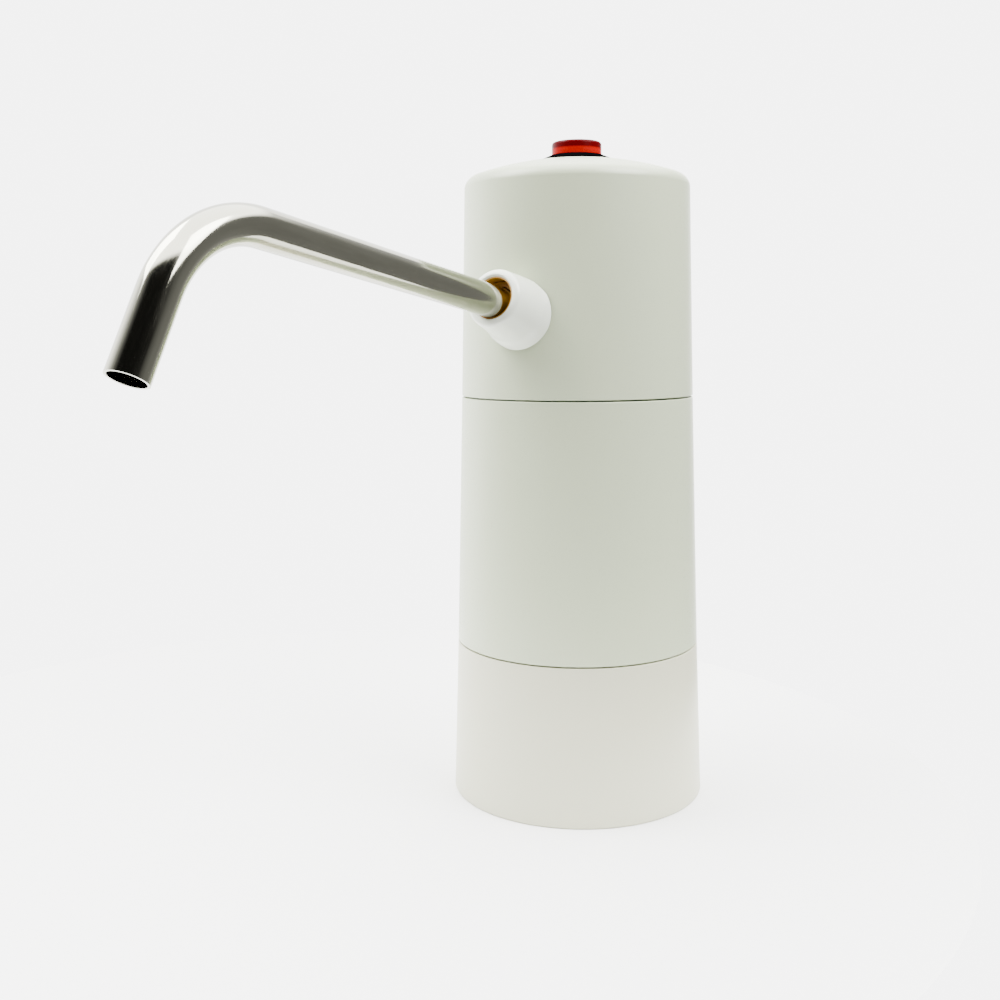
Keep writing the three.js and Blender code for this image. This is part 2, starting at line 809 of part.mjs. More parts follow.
// Charging socket: a block on the board, a nose in the housing's hole and a centre pin
function chargeSocket() {
  const back = boardOffset + boardThickness / 2 + seatGap;
  const mouth = columnRadius(chargeHeight) - chargeRecess;
  const block = box(chargeBlockWidth, chargeBlockDepth, chargeBlockWidth, 0, chargeBlockDepth / 2, 0);
  const nose = rod(chargeNoseRadius, chargeBlockDepth / 2, mouth - back, middleSides).rotateX(-Math.PI / 2);
  const bore = rod(chargeBoreRadius, chargeBoreStart, mouth - back + overrun, smallSides)
    .rotateX(-Math.PI / 2);
  const pin = rod(chargePinRadius, chargePinStart, mouth - back - seatGap, fineSides)
    .rotateX(-Math.PI / 2);
  return join(cut(join(block, nose), bore), pin).translate(0, back, chargeHeight);
}

// A hose that runs straight over both barbs and curves between them
function hose(start, startWay, end, endWay, reach) {
  const from = start.clone().addScaledVector(startWay, hoseOverlap);
  const to = end.clone().addScaledVector(endWay, hoseOverlap);
  const path = new SteppedPath([
    [new THREE.LineCurve3(start, from), 1],
    [new THREE.CubicBezierCurve3(
      from,
      from.clone().addScaledVector(startWay, reach),
      to.clone().addScaledVector(endWay, reach),
      to,
    ), hoseSteps],
    [new THREE.LineCurve3(to, end), 1],
  ]);
  return sweep(path, hoseOuter, hoseInner, fineSides, path.steps);
}

function riserHose() {
  const low = suctionBarbTop - hoseOverlap;
  const high = deckLow - seatGap;
  const start = new THREE.Vector3(0, 0, low);
  const end = new THREE.Vector3(-portInset, pumpOffset, high);
  return hose(start, up, end, down, (high - low) * riserReachShare);
}

function outletHose() {
  const pumpEnd = pumpBlockWidth / 2 + barbLength - hoseOverlap;
  const holderEnd = holderRadius + barbLength - hoseOverlap;
  const rise = degToRad(spoutRise);
  const holderY = -holderPort * Math.cos(rise);
  const holderZ = spoutAxisHeight + holderPort * Math.sin(rise);
  const start = new THREE.Vector3(pumpEnd, pumpOffset, outletHeight);
  const end = new THREE.Vector3(holderEnd, holderY, holderZ);
  const farthest = columnRadius(holderZ) - wall - hoseOuter - clearance;
  const reach = (farthest - pumpEnd - hoseOverlap) * outletReachShare;
  return hose(start, right, end, right, reach);
}

// Web that ties a screw boss to the wall beside it
function headBossWeb(reach, low, high) {
  return box(reach - headBossCircle, headBossRadius, high - low, (reach + headBossCircle) / 2, 0,
    (low + high) / 2);
}

// Pump head housing: spigot, wall, shoulder, dome and crown seat are one revolved moulding
function topHousing() {
  const shoulderCentre = shoulderRadius - shoulderRound;
  const domeStart = Math.acos(shoulderCentre / (domeRadius - shoulderRound));
  const domeEnd = Math.acos(crownSeatRadius / domeRadius);
  const innerDome = domeRadius - wall;
  const padHeight = Math.min(crownUnderside, domeCentre + Math.sqrt(innerDome ** 2 - crownPadRadius ** 2));
  const padAngle = Math.asin((padHeight - domeCentre) / innerDome);
  const shelfTop = upperSeamHigh + wall;
  const shell = lathe([
    [spigotInner, deckLow],
    [spigotOuter, deckLow],
    [spigotOuter, upperSeamHigh],
    [columnRadius(upperSeamHigh), upperSeamHigh],
    ...arcPoints(shoulderCentre, shoulderHeight, shoulderRound, 0, domeStart, roundSteps),
    ...arcPoints(0, domeCentre, domeRadius, domeStart, domeEnd, domeSteps).slice(1),
    [switchBoreRadius, crownHeight],
    [switchBoreRadius, padHeight],
    ...arcPoints(0, domeCentre, innerDome, padAngle, domeStart, domeSteps / 2),
    ...arcPoints(shoulderCentre, shoulderHeight, shoulderRound - wall, domeStart, 0, 1).slice(1),
    [columnRadius(shelfTop) - wall, shelfTop],
    [spigotInner, shelfTop],
  ], columnSides);
  const bossLow = deckTop + seatGap;
  const bossHigh = bossLow + headBossHeight;
  const bosses = headBossPlaces.flatMap(([x, y, angle]) => [
    rod(headBossRadius, bossLow, bossHigh, smallSides, x, y),
    headBossWeb(spigotInner + upperSpigotWall / 2, bossLow, bossHigh).rotateZ(angle),
    headBossWeb(columnRadius(bossHigh) - wall / 2, upperSeamHigh, bossHigh).rotateZ(angle),
  ]);
  const screwHoles = headBossPlaces.map(([x, y]) => (
    rod(screwRadius + clearance, bossLow - overrun, bossLow + screwBite + clearance, fineSides, x, y)
  ));
  const spoutHole = rod(collarSpigotRadius + clearance, shoulderRadius / 2, collarReach, middleSides)
    .applyMatrix4(collarFrame);
  return cut(join(shell, ...bosses), ...screwHoles, spoutHole);
}

function pumpDeck() {
  const plate = rod(spigotInner - clearance, deckLow, deckTop, largeSides);
  const bosses = tieRodPlaces.map(([x, y]) => (
    rod(deckBossRadius, deckLow - deckBossLength, deckLow + deckThickness / 2, smallSides, x, y)
  ));
  const rodHoles = tieRodPlaces.map(([x, y]) => (
    rod(tieRodRadius + clearance, deckLow - deckBossLength - overrun, deckLow + clearance, fineSides, x, y)
  ));
  const screwHoles = [...headBossPlaces, ...pumpScrewPlaces, ...holderScrewPlaces].map(([x, y]) => (
    rod(screwRadius + clearance, deckLow - overrun, deckTop + overrun, fineSides, x, y)
  ));
  const portHole = rod(hoseOuter + clearance, deckLow - overrun, deckTop + overrun, smallSides,
    -portInset, pumpOffset);
  return cut(join(plate, ...bosses), ...rodHoles, ...screwHoles, portHole);
}

// A pan-head screw with its head below height zero
function screw(length) {
  return lathe([
    [0, -screwHeadHeight],
    [screwHeadRadius, -screwHeadHeight],
    [screwHeadRadius, 0],
    [screwRadius, 0],
    [screwRadius, length],
    [0, length],
  ], fineSides);
}

// Outline that the pump's cover, body and plate share
function pumpOutline() {
  const x = pumpBlockWidth / 2;
  const y = pumpBlockLength / 2;
  const r = pumpBlockRound;
  return new THREE.Shape()
    .absarc(x - r, y - r, r, 0, Math.PI / 2)
    .absarc(r - x, y - r, r, Math.PI / 2, Math.PI)
    .absarc(r - x, r - y, r, Math.PI, 3 * Math.PI / 2)
    .absarc(x - r, r - y, r, 3 * Math.PI / 2, 2 * Math.PI);
}

function pumpBlock(low, high) {
  return prism(pumpOutline(), low, high, roundSteps).translate(0, pumpOffset, 0);
}

function pumpScrewCutters(low, high) {
  return pumpScrewPlaces.map(([x, y]) => rod(screwRadius + clearance, low, high, fineSides, x, y));
}

// Cover under the gears: it carries the inlet barb and the lower ends of shaft and pin
function pumpCover() {
  const low = pumpCoverLow;
  const high = low + pumpCoverHeight;
  const block = pumpBlock(low, high);
  const barbRoot = deckLow;
  const barbTip = barbRoot - barbLength;
  const pipe = lathe([
    [0, barbTip],
    ...barbProfile(barbRadius - barbRidgeHeight, barbRoot, barbTip).reverse(),
    [barbRadius, low + pumpCoverHeight / 2],
    [0, low + pumpCoverHeight / 2],
  ], smallSides).translate(-portInset, pumpOffset, 0);
  const waterway = rod(waterwayRadius, barbTip - overrun, high + overrun, smallSides, -portInset, pumpOffset);
  const sockets = [driveOffset, idlerOffset].map((y) => (
    rod(shaftRadius + clearance, high - pinEngagement, high + overrun, smallSides, 0, y)
  ));
  return cut(join(block, pipe), waterway, ...sockets, ...pumpScrewCutters(low - overrun, high + overrun));
}

// Body round the gears: an eight-shaped case with a port on each side of the mesh
function pumpBody() {
  const low = pumpBodyLow;
  const high = low + pumpBodyHeight;
  const block = pumpBlock(low, high);
  const half = pumpBlockWidth / 2;
  const barb = lathe([
    [0, half - overrun],
    [barbRadius, half - overrun],
    ...barbProfile(barbRadius - barbRidgeHeight, half, half + barbLength),
    [0, half + barbLength],
  ], smallSides).rotateY(Math.PI / 2).translate(0, pumpOffset, outletHeight);
  const cases = [driveOffset, idlerOffset].map((y) => (
    rod(gearCaseRadius, low - overrun, high + overrun, largeSides, 0, y)
  ));
  const ports = [-1, 1].map((side) => (
    rod(waterwayRadius, low - overrun, high + overrun, smallSides, side * portInset, pumpOffset)
  ));
  const crossPort = box(2 * portInset, 2 * waterwayRadius, pumpBodyHeight + 2 * overrun,
    0, pumpOffset, outletHeight);
  const outlet = rod(waterwayRadius, portInset, half + barbLength + overrun, smallSides)
    .rotateY(Math.PI / 2)
    .translate(0, pumpOffset, outletHeight);
  return cut(join(block, barb), ...cases, ...ports, crossPort, outlet,
    ...pumpScrewCutters(low - overrun, high + overrun));
}

// Plate between gears and motor, with the shaft seal's recess
function pumpPlate() {
  const low = pumpPlateLow;
  const high = low + pumpPlateHeight;
  const shaftHole = rod(shaftRadius + clearance, low - overrun, high + overrun, smallSides, 0, driveOffset);
  const sealRecess = rod(sealRadius + clearance, high - sealHeight - seatGap, high + overrun, middleSides,
    0, driveOffset);
  const pinSocket = rod(shaftRadius + clearance, low - overrun, low + pinEngagement, smallSides,
    0, idlerOffset);
  const screwHoles = pumpScrewCutters(low - overrun, high - pumpScrewEnd);
  return cut(pumpBlock(low, high), shaftHole, sealRecess, pinSocket, ...screwHoles);
}

// Involute spur gear outline with one tooth on the given angle
function gearShape(toothAngle) {
  const baseRadius = pitchRadius * Math.cos(degToRad(gearPressureAngle));
  const involute = (angle) => Math.tan(angle) - angle;
  const pitchThickness = Math.PI * gearModule / 2 - gearBacklash;
  const halfAngle = (radius) => {
    const pressure = Math.acos(Math.min(1, baseRadius / radius));
    return pitchThickness / (2 * pitchRadius) + involute(degToRad(gearPressureAngle)) - involute(pressure);
  };
  const flank = Array.from({ length: flankSteps + 1 }, (_, i) => (
    baseRadius + (gearTipRadius - baseRadius) * i / flankSteps
  ));
  const radii = [gearRootRadius, ...flank];
  const points = [];
  for (let tooth = 0; tooth < gearTeeth; tooth += 1) {
    const middle = degToRad(toothAngle) + 2 * Math.PI * tooth / gearTeeth;
    const side = (radius, way) => {
      const angle = middle + way * halfAngle(Math.max(radius, baseRadius));
      return new THREE.Vector2(radius * Math.cos(angle), radius * Math.sin(angle));
    };
    radii.forEach((radius) => points.push(side(radius, -1)));
    [...radii].reverse().forEach((radius) => points.push(side(radius, 1)));
  }
  const shape = new THREE.Shape(points);
  shape.holes.push(new THREE.Path().absarc(0, 0, shaftRadius + seatGap, 0, 2 * Math.PI));
  return shape;
}

function gear(toothAngle, offset) {
  const low = pumpBodyLow + seatGap;
  return prism(gearShape(toothAngle), low, low + gearHeight, smallSides).translate(0, offset, 0);
}

function idlerPin() {
  const low = pumpBodyLow - seatGap - pinEngagement + clearance;
  const high = pumpPlateLow + pinEngagement - clearance;
  return rod(shaftRadius, low, high, smallSides, 0, idlerOffset);
}

function shaftSeal() {
  const high = pumpPlateLow + pumpPlateHeight - seatGap / 2;
  return ring(sealRadius, shaftRadius + seatGap, high - sealHeight, high, middleSides)
    .translate(0, driveOffset, 0);
}

// Motor pieces stand in the motor's own frame: its axis is Z and the can's front face is at zero
function motorCan() {
  const frontHole = bushRadius + clearance;
  const inner = motorRadius - motorCanWall;
  return lathe([
    [frontHole, 0],
    [motorRadius, 0],
    [motorRadius, motorLength],
    [inner, motorLength],
    [inner, motorCanWall],
    [frontHole, motorCanWall],
  ], largeSides);
}

function frontBush() {
  const flangeLow = motorCanWall + seatGap;
  return lathe([
    [shaftRadius + seatGap, flangeLow - bushNoseHeight + seatGap],
    [bushRadius, flangeLow - bushNoseHeight + seatGap],
    [bushRadius, flangeLow],
    [bushFlangeRadius, flangeLow],
    [bushFlangeRadius, flangeLow + bushFlangeHeight],
    [shaftRadius + seatGap, flangeLow + bushFlangeHeight],
  ], smallSides);
}

// A slice of a ring, centred on the given angle
function arcShape(outer, inner, span, middle) {
  const from = degToRad(middle - span / 2);
  const to = degToRad(middle + span / 2);
  return new THREE.Shape().absarc(0, 0, outer, from, to, false).absarc(0, 0, inner, to, from, true);
}

function magnet(side) {
  const shape = arcShape(magnetOuter, magnetOuter - magnetThickness, magnetSpan, side * rightAngle);
  return prism(shape, magnetRise, magnetRise + magnetLength, fineSides);
}

// Rotor: three poles with their shoes and windings, and the commutator behind them
function armature() {
  const high = rotorLow + rotorLength;
  const hub = rod(rotorHubRadius, rotorLow, high, middleSides);
  const commutator = rod(commutatorRadius, high - overrun, high + commutatorLength, smallSides);
  const poles = [];
  for (let i = 0; i < rotorPoles; i += 1) {
    const angle = 2 * Math.PI * i / rotorPoles;
    const armLength = rotorRadius - poleShoeThickness / 2;
    const windingLength = rotorRadius - poleShoeThickness - rotorHubRadius;
    const arm = box(armLength, poleWidth, rotorLength, armLength / 2, 0, rotorLow + rotorLength / 2);
    const winding = box(windingLength, poleWidth + 2 * windingThickness, rotorLength + windingThickness,
      rotorHubRadius + windingLength / 2, 0, rotorLow + rotorLength / 2);
    const shoe = prism(arcShape(rotorRadius, rotorRadius - poleShoeThickness, poleShoeSpan, 0),
      rotorLow, high, roundSteps);
    poles.push(arm.rotateZ(angle), winding.rotateZ(angle), shoe.rotateZ(angle));
  }
  const bore = rod(shaftRadius + seatGap, rotorLow - overrun, high + commutatorLength + overrun, smallSides);
  return cut(join(hub, commutator, ...poles), bore);
}

function endCap() {
  const bladeSlotWidth = bladeThickness + 2 * clearance;
  const flangeLow = motorLength + seatGap;
  const disc = lathe([
    [shaftRadius + seatGap, capFace],
    [motorRadius - motorCanWall - clearance, capFace],
    [motorRadius - motorCanWall - clearance, flangeLow],
    [motorRadius, flangeLow],
    [motorRadius, flangeLow + endCapFlangeHeight],
    [shaftRadius + seatGap, flangeLow + endCapFlangeHeight],
  ], largeSides);
  const slots = [-1, 1].map((side) => (
    box(bladeSlotWidth, bladeWidth + 2 * clearance, motorLength, side * bladePlace, 0, motorLength)
  ));
  return cut(disc, ...slots);
}

// Carbon brush and its terminal blade, which stands out through the end cap
function brush(side) {
  const brushHigh = capFace - seatGap;
  const brushLow = brushHigh - brushWidth;
  const bladeHigh = motorLength + seatGap + endCapFlangeHeight + bladeStandOut;
  const carbonLength = brushLength + bladeThickness / 2;
  const carbon = box(carbonLength, brushWidth, brushWidth,
    side * (bladePlace - carbonLength / 2), 0, (brushLow + brushHigh) / 2);
  const blade = box(bladeThickness, bladeWidth, bladeHigh - brushLow,
    side * bladePlace, 0, (brushLow + bladeHigh) / 2);
  return join(carbon, blade);
}

function motorShaft() {
  const low = pumpBodyLow - seatGap - pinEngagement + clearance;
  return rod(shaftRadius, low - motorLow, motorLength + seatGap, smallSides);
}

// Spout holder: a barrel for the tube, a chamber behind it, a side barb and a pillar with a foot
function spoutHolder() {
  const chamberStart = holderBack + holderBackWall;
  const tubeBore = spoutRadius + clearance;
  const rise = degToRad(spoutRise);
  const portY = -holderPort * Math.cos(rise);
  const portZ = spoutAxisHeight + holderPort * Math.sin(rise);
  const barrel = rod(holderRadius, holderBack, holderFront, largeSides).applyMatrix4(spoutFrame);
  const barb = lathe([
    [0, 0],
    [barbRadius, 0],
    [barbRadius, holderRadius],
    ...barbProfile(barbRadius - barbRidgeHeight, holderRadius, holderRadius + barbLength),
    [0, holderRadius + barbLength],
  ], smallSides).rotateY(Math.PI / 2).translate(0, portY, portZ);
  const footLow = deckTop + seatGap;
  const foot = box(holderFootWidth, holderPillarDepth, holderFootHeight,
    0, holderFootCentre, footLow + holderFootHeight / 2);
  const pillarHigh = spoutAxisHeight;
  const pillar = box(holderPillarWidth, holderPillarDepth, pillarHigh - footLow,
    0, holderFootCentre, (pillarHigh + footLow) / 2);
  const chamber = rod(chamberRadius, chamberStart, holderFront, middleSides).applyMatrix4(spoutFrame);
  const bore = rod(tubeBore, chamberStart + chamberLength, holderFront + overrun, largeSides)
    .applyMatrix4(spoutFrame);
  const groove = rod(tubeBore + 2 * oRingSection, oRingPlace - oRingSection - seatGap,
    oRingPlace + oRingSection + seatGap, largeSides).applyMatrix4(spoutFrame);
  const sideBore = rod(waterwayRadius, 0, holderRadius + barbLength + overrun, smallSides)
    .rotateY(Math.PI / 2)
    .translate(0, portY, portZ);
  const screwHoles = holderScrewPlaces.map(([x, y]) => (
    rod(screwRadius + clearance, footLow - overrun, footLow + holderFootHeight + overrun, fineSides, x, y)
  ));
  return cut(join(barrel, barb, foot, pillar), chamber, bore, groove, sideBore, ...screwHoles);
}

function spoutORing() {
  const centre = spoutRadius + seatGap + oRingSection;
  return weld(new THREE.TorusGeometry(centre, oRingSection, fineSides, middleSides))
    .translate(0, 0, oRingPlace);
}

function spoutTube() {
  const bendStart = new THREE.Vector3(0, 0, spoutStraight);
  const bend = new DownwardBend(bendStart, spoutBendRadius, degToRad(spoutBendAngle));
  const bendEnd = bend.getPoint(1);
  const tailWay = new THREE.Vector3(0, -Math.sin(bend.angle), Math.cos(bend.angle));
  const path = new SteppedPath([
    [new THREE.LineCurve3(new THREE.Vector3(0, 0, tubeStart), bendStart), 1],
    [bend, bendSteps],
    [new THREE.LineCurve3(bendEnd, bendEnd.clone().addScaledVector(tailWay, spoutTail)), 1],
  ]);
  return sweep(path, spoutRadius, spoutRadius - spoutWall, tubeSides, path.steps);
}

// Collar: a rounded cone whose foot follows the housing, with a spigot through the wall
function spoutCollar() {
  const foot = shoulderRadius - overrun;
  const coneRadius = (place) => (
    collarNoseRadius + (collarReach - place) * Math.tan(degToRad(collarFlare))
  );
  const roundPlace = collarReach - collarNoseRound;
  const filletFoot = columnRadius(collarAxisHeight) / Math.cos(degToRad(collarRise));
  const filletMiddle = filletFoot + collarFilletHeight / 2;
  const filletTop = filletFoot + collarFilletHeight;
  const cone = lathe([
    [0, foot],
    [coneRadius(foot) + collarFilletReach, foot],
    [coneRadius(filletFoot) + collarFilletReach, filletFoot],
    [coneRadius(filletMiddle) + collarFilletReach * collarFilletShare, filletMiddle],
    [coneRadius(filletTop), filletTop],
    [coneRadius(roundPlace), roundPlace],
    ...arcPoints(coneRadius(roundPlace) - collarNoseRound, roundPlace, collarNoseRound, 0, Math.PI / 2,
      roundSteps).slice(1),
    [0, collarReach],
  ], largeSides).applyMatrix4(collarFrame);
  const housing = lathe([
    [0, deckLow],
    [columnRadius(deckLow) + seatGap, deckLow],
    [columnRadius(shoulderHeight) + seatGap, shoulderHeight],
    [0, shoulderHeight],
  ], columnSides);
  const inside = lathe([
    [0, deckLow],
    [columnRadius(deckLow) - wall, deckLow],
    [columnRadius(shoulderHeight) - wall, shoulderHeight],
    [0, shoulderHeight],
  ], columnSides);
  const spigot = rod(collarSpigotRadius, shoulderRadius / 2, collarReach - collarLipLength, middleSides)
    .applyMatrix4(collarFrame);
  const lip = collarReach - collarLipLength;
  const bore = lathe([
    [0, shoulderRadius / 2 - overrun],
    [collarCavityRadius, shoulderRadius / 2 - overrun],
    [collarCavityRadius, lip],
    [collarHoleRadius, lip],
    [collarHoleRadius, collarReach - collarHoleRound],
    [collarHoleRadius + collarHoleRound, collarReach],
    [collarHoleRadius + collarHoleRound, collarReach + overrun],
    [0, collarReach + overrun],
  ], largeSides).applyMatrix4(collarFrame);
  return cut(join(cut(cone, housing), spigot), inside, bore);
}

// Amber gland round the tube, behind the collar's lip
function spoutGland() {
  const tilt = degToRad(collarRise - spoutRise);
  const noseAlongTube = collarReach * Math.cos(degToRad(collarRise)) / Math.cos(degToRad(spoutRise));
  const front = noseAlongTube - collarLipLength - glandRadius * Math.sin(tilt) - clearance;
  return ring(glandRadius, spoutRadius + seatGap, front - glandLength, front, middleSides);
}

// Button cap: a rounded lens with a hollow underside and a stem
function buttonCap() {
  const high = capLow + capHeight;
  const stemLow = plungerTop + seatGap;
  const inner = capRadius - capWall;
  return lathe([
    [0, stemLow],
    [capStemRadius, stemLow],
    [capStemRadius, capLow + capRecessDepth],
    [inner, capLow + capRecessDepth],
    [inner, capLow],
    [capRadius, capLow],
    ...arcPoints(capRadius - capRound, high - capRound, capRound, 0, Math.PI / 2, roundSteps),
    [0, high],
  ], middleSides);
}

function buttonBezel() {
  const recessRadius = capRadius + clearance;
  const stemHole = capStemRadius + clearance;
  return lathe([
    [barrelBoreRadius, barrelLow],
    [barrelRadius, barrelLow],
    [barrelRadius, bezelLow],
    [bezelRadius, bezelLow],
    [bezelRadius, bezelLow + bezelEdge],
    [bezelTopRadius, bezelTop],
    [recessRadius, bezelTop],
    [recessRadius, recessFloor],
    [stemHole, recessFloor],
    [stemHole, lipLow],
    [barrelBoreRadius, lipLow],
  ], largeSides);
}

// Plunger under the cap: a cup that takes the spring and carries the contact bridge
function switchPlunger() {
  const cup = plungerRadius - plungerWall;
  return lathe([
    [0, plungerLow + plungerCupDepth],
    [cup, plungerLow + plungerCupDepth],
    [cup, plungerLow],
    [plungerRadius, plungerLow],
    [plungerRadius, plungerTop],
    [0, plungerTop],
  ], middleSides);
}

function contactBridge() {
  return ring(plungerRadius, plungerRadius - bridgeWidth, bridgeLow, bridgeLow + bridgeThickness,
    middleSides);
}

function switchBase() {
  const high = barrelLow - seatGap;
  const body = lathe([
    [0, high - switchBaseHeight],
    [barrelRadius, high - switchBaseHeight],
    [barrelRadius, high],
    [barrelBoreRadius - clearance, high],
    [barrelBoreRadius - clearance, barrelLow + switchBaseSpigot],
    [0, barrelLow + switchBaseSpigot],
  ], middleSides);
  const slots = [-1, 1].map((side) => (
    box(bladeThickness + 2 * clearance, contactWidth + 2 * clearance, barrelLength,
      side * bladeSpacing / 2, 0, high)
  ));
  return cut(body, ...slots);
}

// Fixed contact of the switch: a blade through the base with a pad under the bridge
function switchTerminal(side) {
  const low = barrelLow - seatGap - switchBaseHeight - switchBladeStandOut;
  return box(bladeThickness, contactWidth, contactTop - low,
    side * bladeSpacing / 2, 0, (low + contactTop) / 2);
}

function switchSpring() {
  const low = barrelLow + switchBaseSpigot + springWire / 2 + seatGap;
  const high = plungerLow + plungerCupDepth - springWire / 2 - seatGap;
  const path = new Helix(springRadius, low, high, springCoils);
  return sweep(path, springWire / 2, 0, springSides, springCoils * springStepsPerCoil);
}

// Assembly
const pump = new THREE.Group();

piece(pump, 'base_skirt', baseSkirt(), creamPlastic);
piece(pump, 'neck_gasket', neckGasket(), greyRubber);
piece(pump, 'suction_fitting', suctionFitting(), whitePlastic);
const washerHigh = socketDepth - seatGap;
piece(pump, 'suction_washer',
  ring(suctionFlangeRadius, suctionThreadRadius + clearance, washerHigh - suctionWasherHeight, washerHigh,
    middleSides), blackRubber);
const suctionNutLow = socketCeiling + seatGap;
piece(pump, 'suction_nut',
  prism(hexagon(suctionNutFlats, suctionThreadRadius + clearance), suctionNutLow,
    suctionNutLow + suctionNutHeight, middleSides), whitePlastic);
tieRodPlaces.forEach(([x, y], i) => {
  piece(pump, `tie_rod_${i + 1}`, tieRod(), zincSteel).position.set(x, y, socketDepth + seatGap);
});

piece(pump, 'mid_housing', midHousing(), whitePlastic);
piece(pump, 'battery_tray', batteryTray(), greyPlastic);
[-1, 1].forEach((side, i) => {
  piece(pump, `battery_cell_${i + 1}`, cell(), cellWrap)
    .position.set(side * cellSpacing / 2, -cellOffset, cellLow);
});
piece(pump, 'cell_band', cellBand(), greyPlastic);
piece(pump, 'cell_link', cellLink(), nickel);
piece(pump, 'control_board', controlBoard(), boardGreen);
piece(pump, 'charge_socket', chargeSocket(), blackPlastic);
piece(pump, 'riser_hose', riserHose(), clearPlastic);

piece(pump, 'top_housing', topHousing(), whitePlastic);
piece(pump, 'pump_deck', pumpDeck(), greyPlastic);
headBossPlaces.forEach(([x, y], i) => {
  piece(pump, `deck_screw_${i + 1}`, screw(deckThickness + 2 * seatGap + screwBite), zincSteel)
    .position.set(x, y, deckLow - seatGap);
});

piece(pump, 'pump_cover', pumpCover(), greyPlastic);
piece(pump, 'pump_body', pumpBody(), greyPlastic);
piece(pump, 'pump_plate', pumpPlate(), greyPlastic);
piece(pump, 'drive_gear', gear(-rightAngle, driveOffset), brass);
const halfTooth = 2 * rightAngle / gearTeeth;
piece(pump, 'driven_gear', gear(rightAngle + halfTooth, idlerOffset), brass);
piece(pump, 'idler_pin', idlerPin(), zincSteel);
piece(pump, 'shaft_seal', shaftSeal(), blackRubber);
const pumpScrewLength = pumpPlateLow + pumpPlateHeight / 2 - deckLow;
pumpScrewPlaces.forEach(([x, y], i) => {
  piece(pump, `pump_screw_${i + 1}`, screw(pumpScrewLength), zincSteel).position.set(x, y, deckLow - seatGap);
});

const motor = new THREE.Group();
motor.position.set(0, driveOffset, motorLow);
pump.add(motor);
piece(motor, 'motor_can', motorCan(), motorSteel);
piece(motor, 'front_bush', frontBush(), brass);
piece(motor, 'magnet_1', magnet(-1), ferrite);
piece(motor, 'magnet_2', magnet(1), ferrite);
piece(motor, 'armature', armature(), copper);
piece(motor, 'motor_shaft', motorShaft(), zincSteel);
piece(motor, 'end_cap', endCap(), blackPlastic);
piece(motor, 'brush_1', brush(-1), copper);
piece(motor, 'brush_2', brush(1), copper);

piece(pump, 'outlet_hose', outletHose(), clearPlastic);
piece(pump, 'spout_holder', spoutHolder(), greyPlastic);
holderScrewPlaces.forEach(([x, y], i) => {
  piece(pump, `holder_screw_${i + 1}`, screw(deckThickness + seatGap + holderFootHeight), zincSteel)
    .position.set(x, y, deckLow - seatGap);
});
piece(pump, 'spout_collar', spoutCollar(), collarPlastic);

const spout = new THREE.Group();
spout.position.set(0, 0, spoutAxisHeight);
spout.rotation.x = Math.PI / 2 - degToRad(spoutRise);
pump.add(spout);
piece(spout, 'spout_o_ring', spoutORing(), blackRubber);
piece(spout, 'spout_gland', spoutGland(), amberRubber);
piece(spout, 'spout_tube', spoutTube(), brushedSteel);

piece(pump, 'button_cap', buttonCap(), redLens);
piece(pump, 'button_bezel', buttonBezel(), blackPlastic);
piece(pump, 'switch_plunger', switchPlunger(), blackPlastic);
piece(pump, 'contact_bridge', contactBridge(), copper);
piece(pump, 'switch_spring', switchSpring(), nickel);
piece(pump, 'switch_base', switchBase(), blackPlastic);
piece(pump, 'switch_terminal_1', switchTerminal(-1), nickel);
piece(pump, 'switch_terminal_2', switchTerminal(1), nickel);
const switchWasherLow = crownUnderside - seatGap - switchWasherHeight;
const switchNutLow = switchWasherLow - seatGap - switchNutHeight;
piece(pump, 'switch_washer',
  ring(switchWasherRadius, switchBoreRadius, switchWasherLow, switchWasherLow + switchWasherHeight,
    largeSides), zincSteel);
piece(pump, 'switch_nut',
  prism(hexagon(switchNutFlats, switchBoreRadius), switchNutLow, switchNutLow + switchNutHeight,
    middleSides), blackPlastic);

export default pump;
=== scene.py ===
from math import asin, cos, pi, radians, sin, sqrt, tan

import bmesh
import bpy
from mathutils import Matrix, Vector


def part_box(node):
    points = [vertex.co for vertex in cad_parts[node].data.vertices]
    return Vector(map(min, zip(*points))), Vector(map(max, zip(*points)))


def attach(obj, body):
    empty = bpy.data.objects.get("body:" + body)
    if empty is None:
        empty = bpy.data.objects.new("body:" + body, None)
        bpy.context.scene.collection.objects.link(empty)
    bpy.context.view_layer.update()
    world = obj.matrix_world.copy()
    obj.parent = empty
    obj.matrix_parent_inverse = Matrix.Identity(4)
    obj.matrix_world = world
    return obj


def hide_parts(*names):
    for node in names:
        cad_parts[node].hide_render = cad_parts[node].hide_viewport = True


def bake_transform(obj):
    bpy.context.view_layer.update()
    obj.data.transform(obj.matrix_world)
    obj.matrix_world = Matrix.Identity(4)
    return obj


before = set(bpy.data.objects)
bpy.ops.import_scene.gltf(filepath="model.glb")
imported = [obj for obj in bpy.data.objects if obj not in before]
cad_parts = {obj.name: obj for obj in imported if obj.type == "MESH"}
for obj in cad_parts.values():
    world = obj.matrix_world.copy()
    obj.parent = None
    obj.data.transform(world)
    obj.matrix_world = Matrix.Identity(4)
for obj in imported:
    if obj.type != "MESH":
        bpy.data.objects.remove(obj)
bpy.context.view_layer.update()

# Base skirt: the lowest section, which stands on the jug's shoulder and holds its neck.
# Injection-moulded ABS in a warm cream white, one moulding with twelve ribs round the neck ring.
# Three countersunk tie rods pull it up against the battery section.

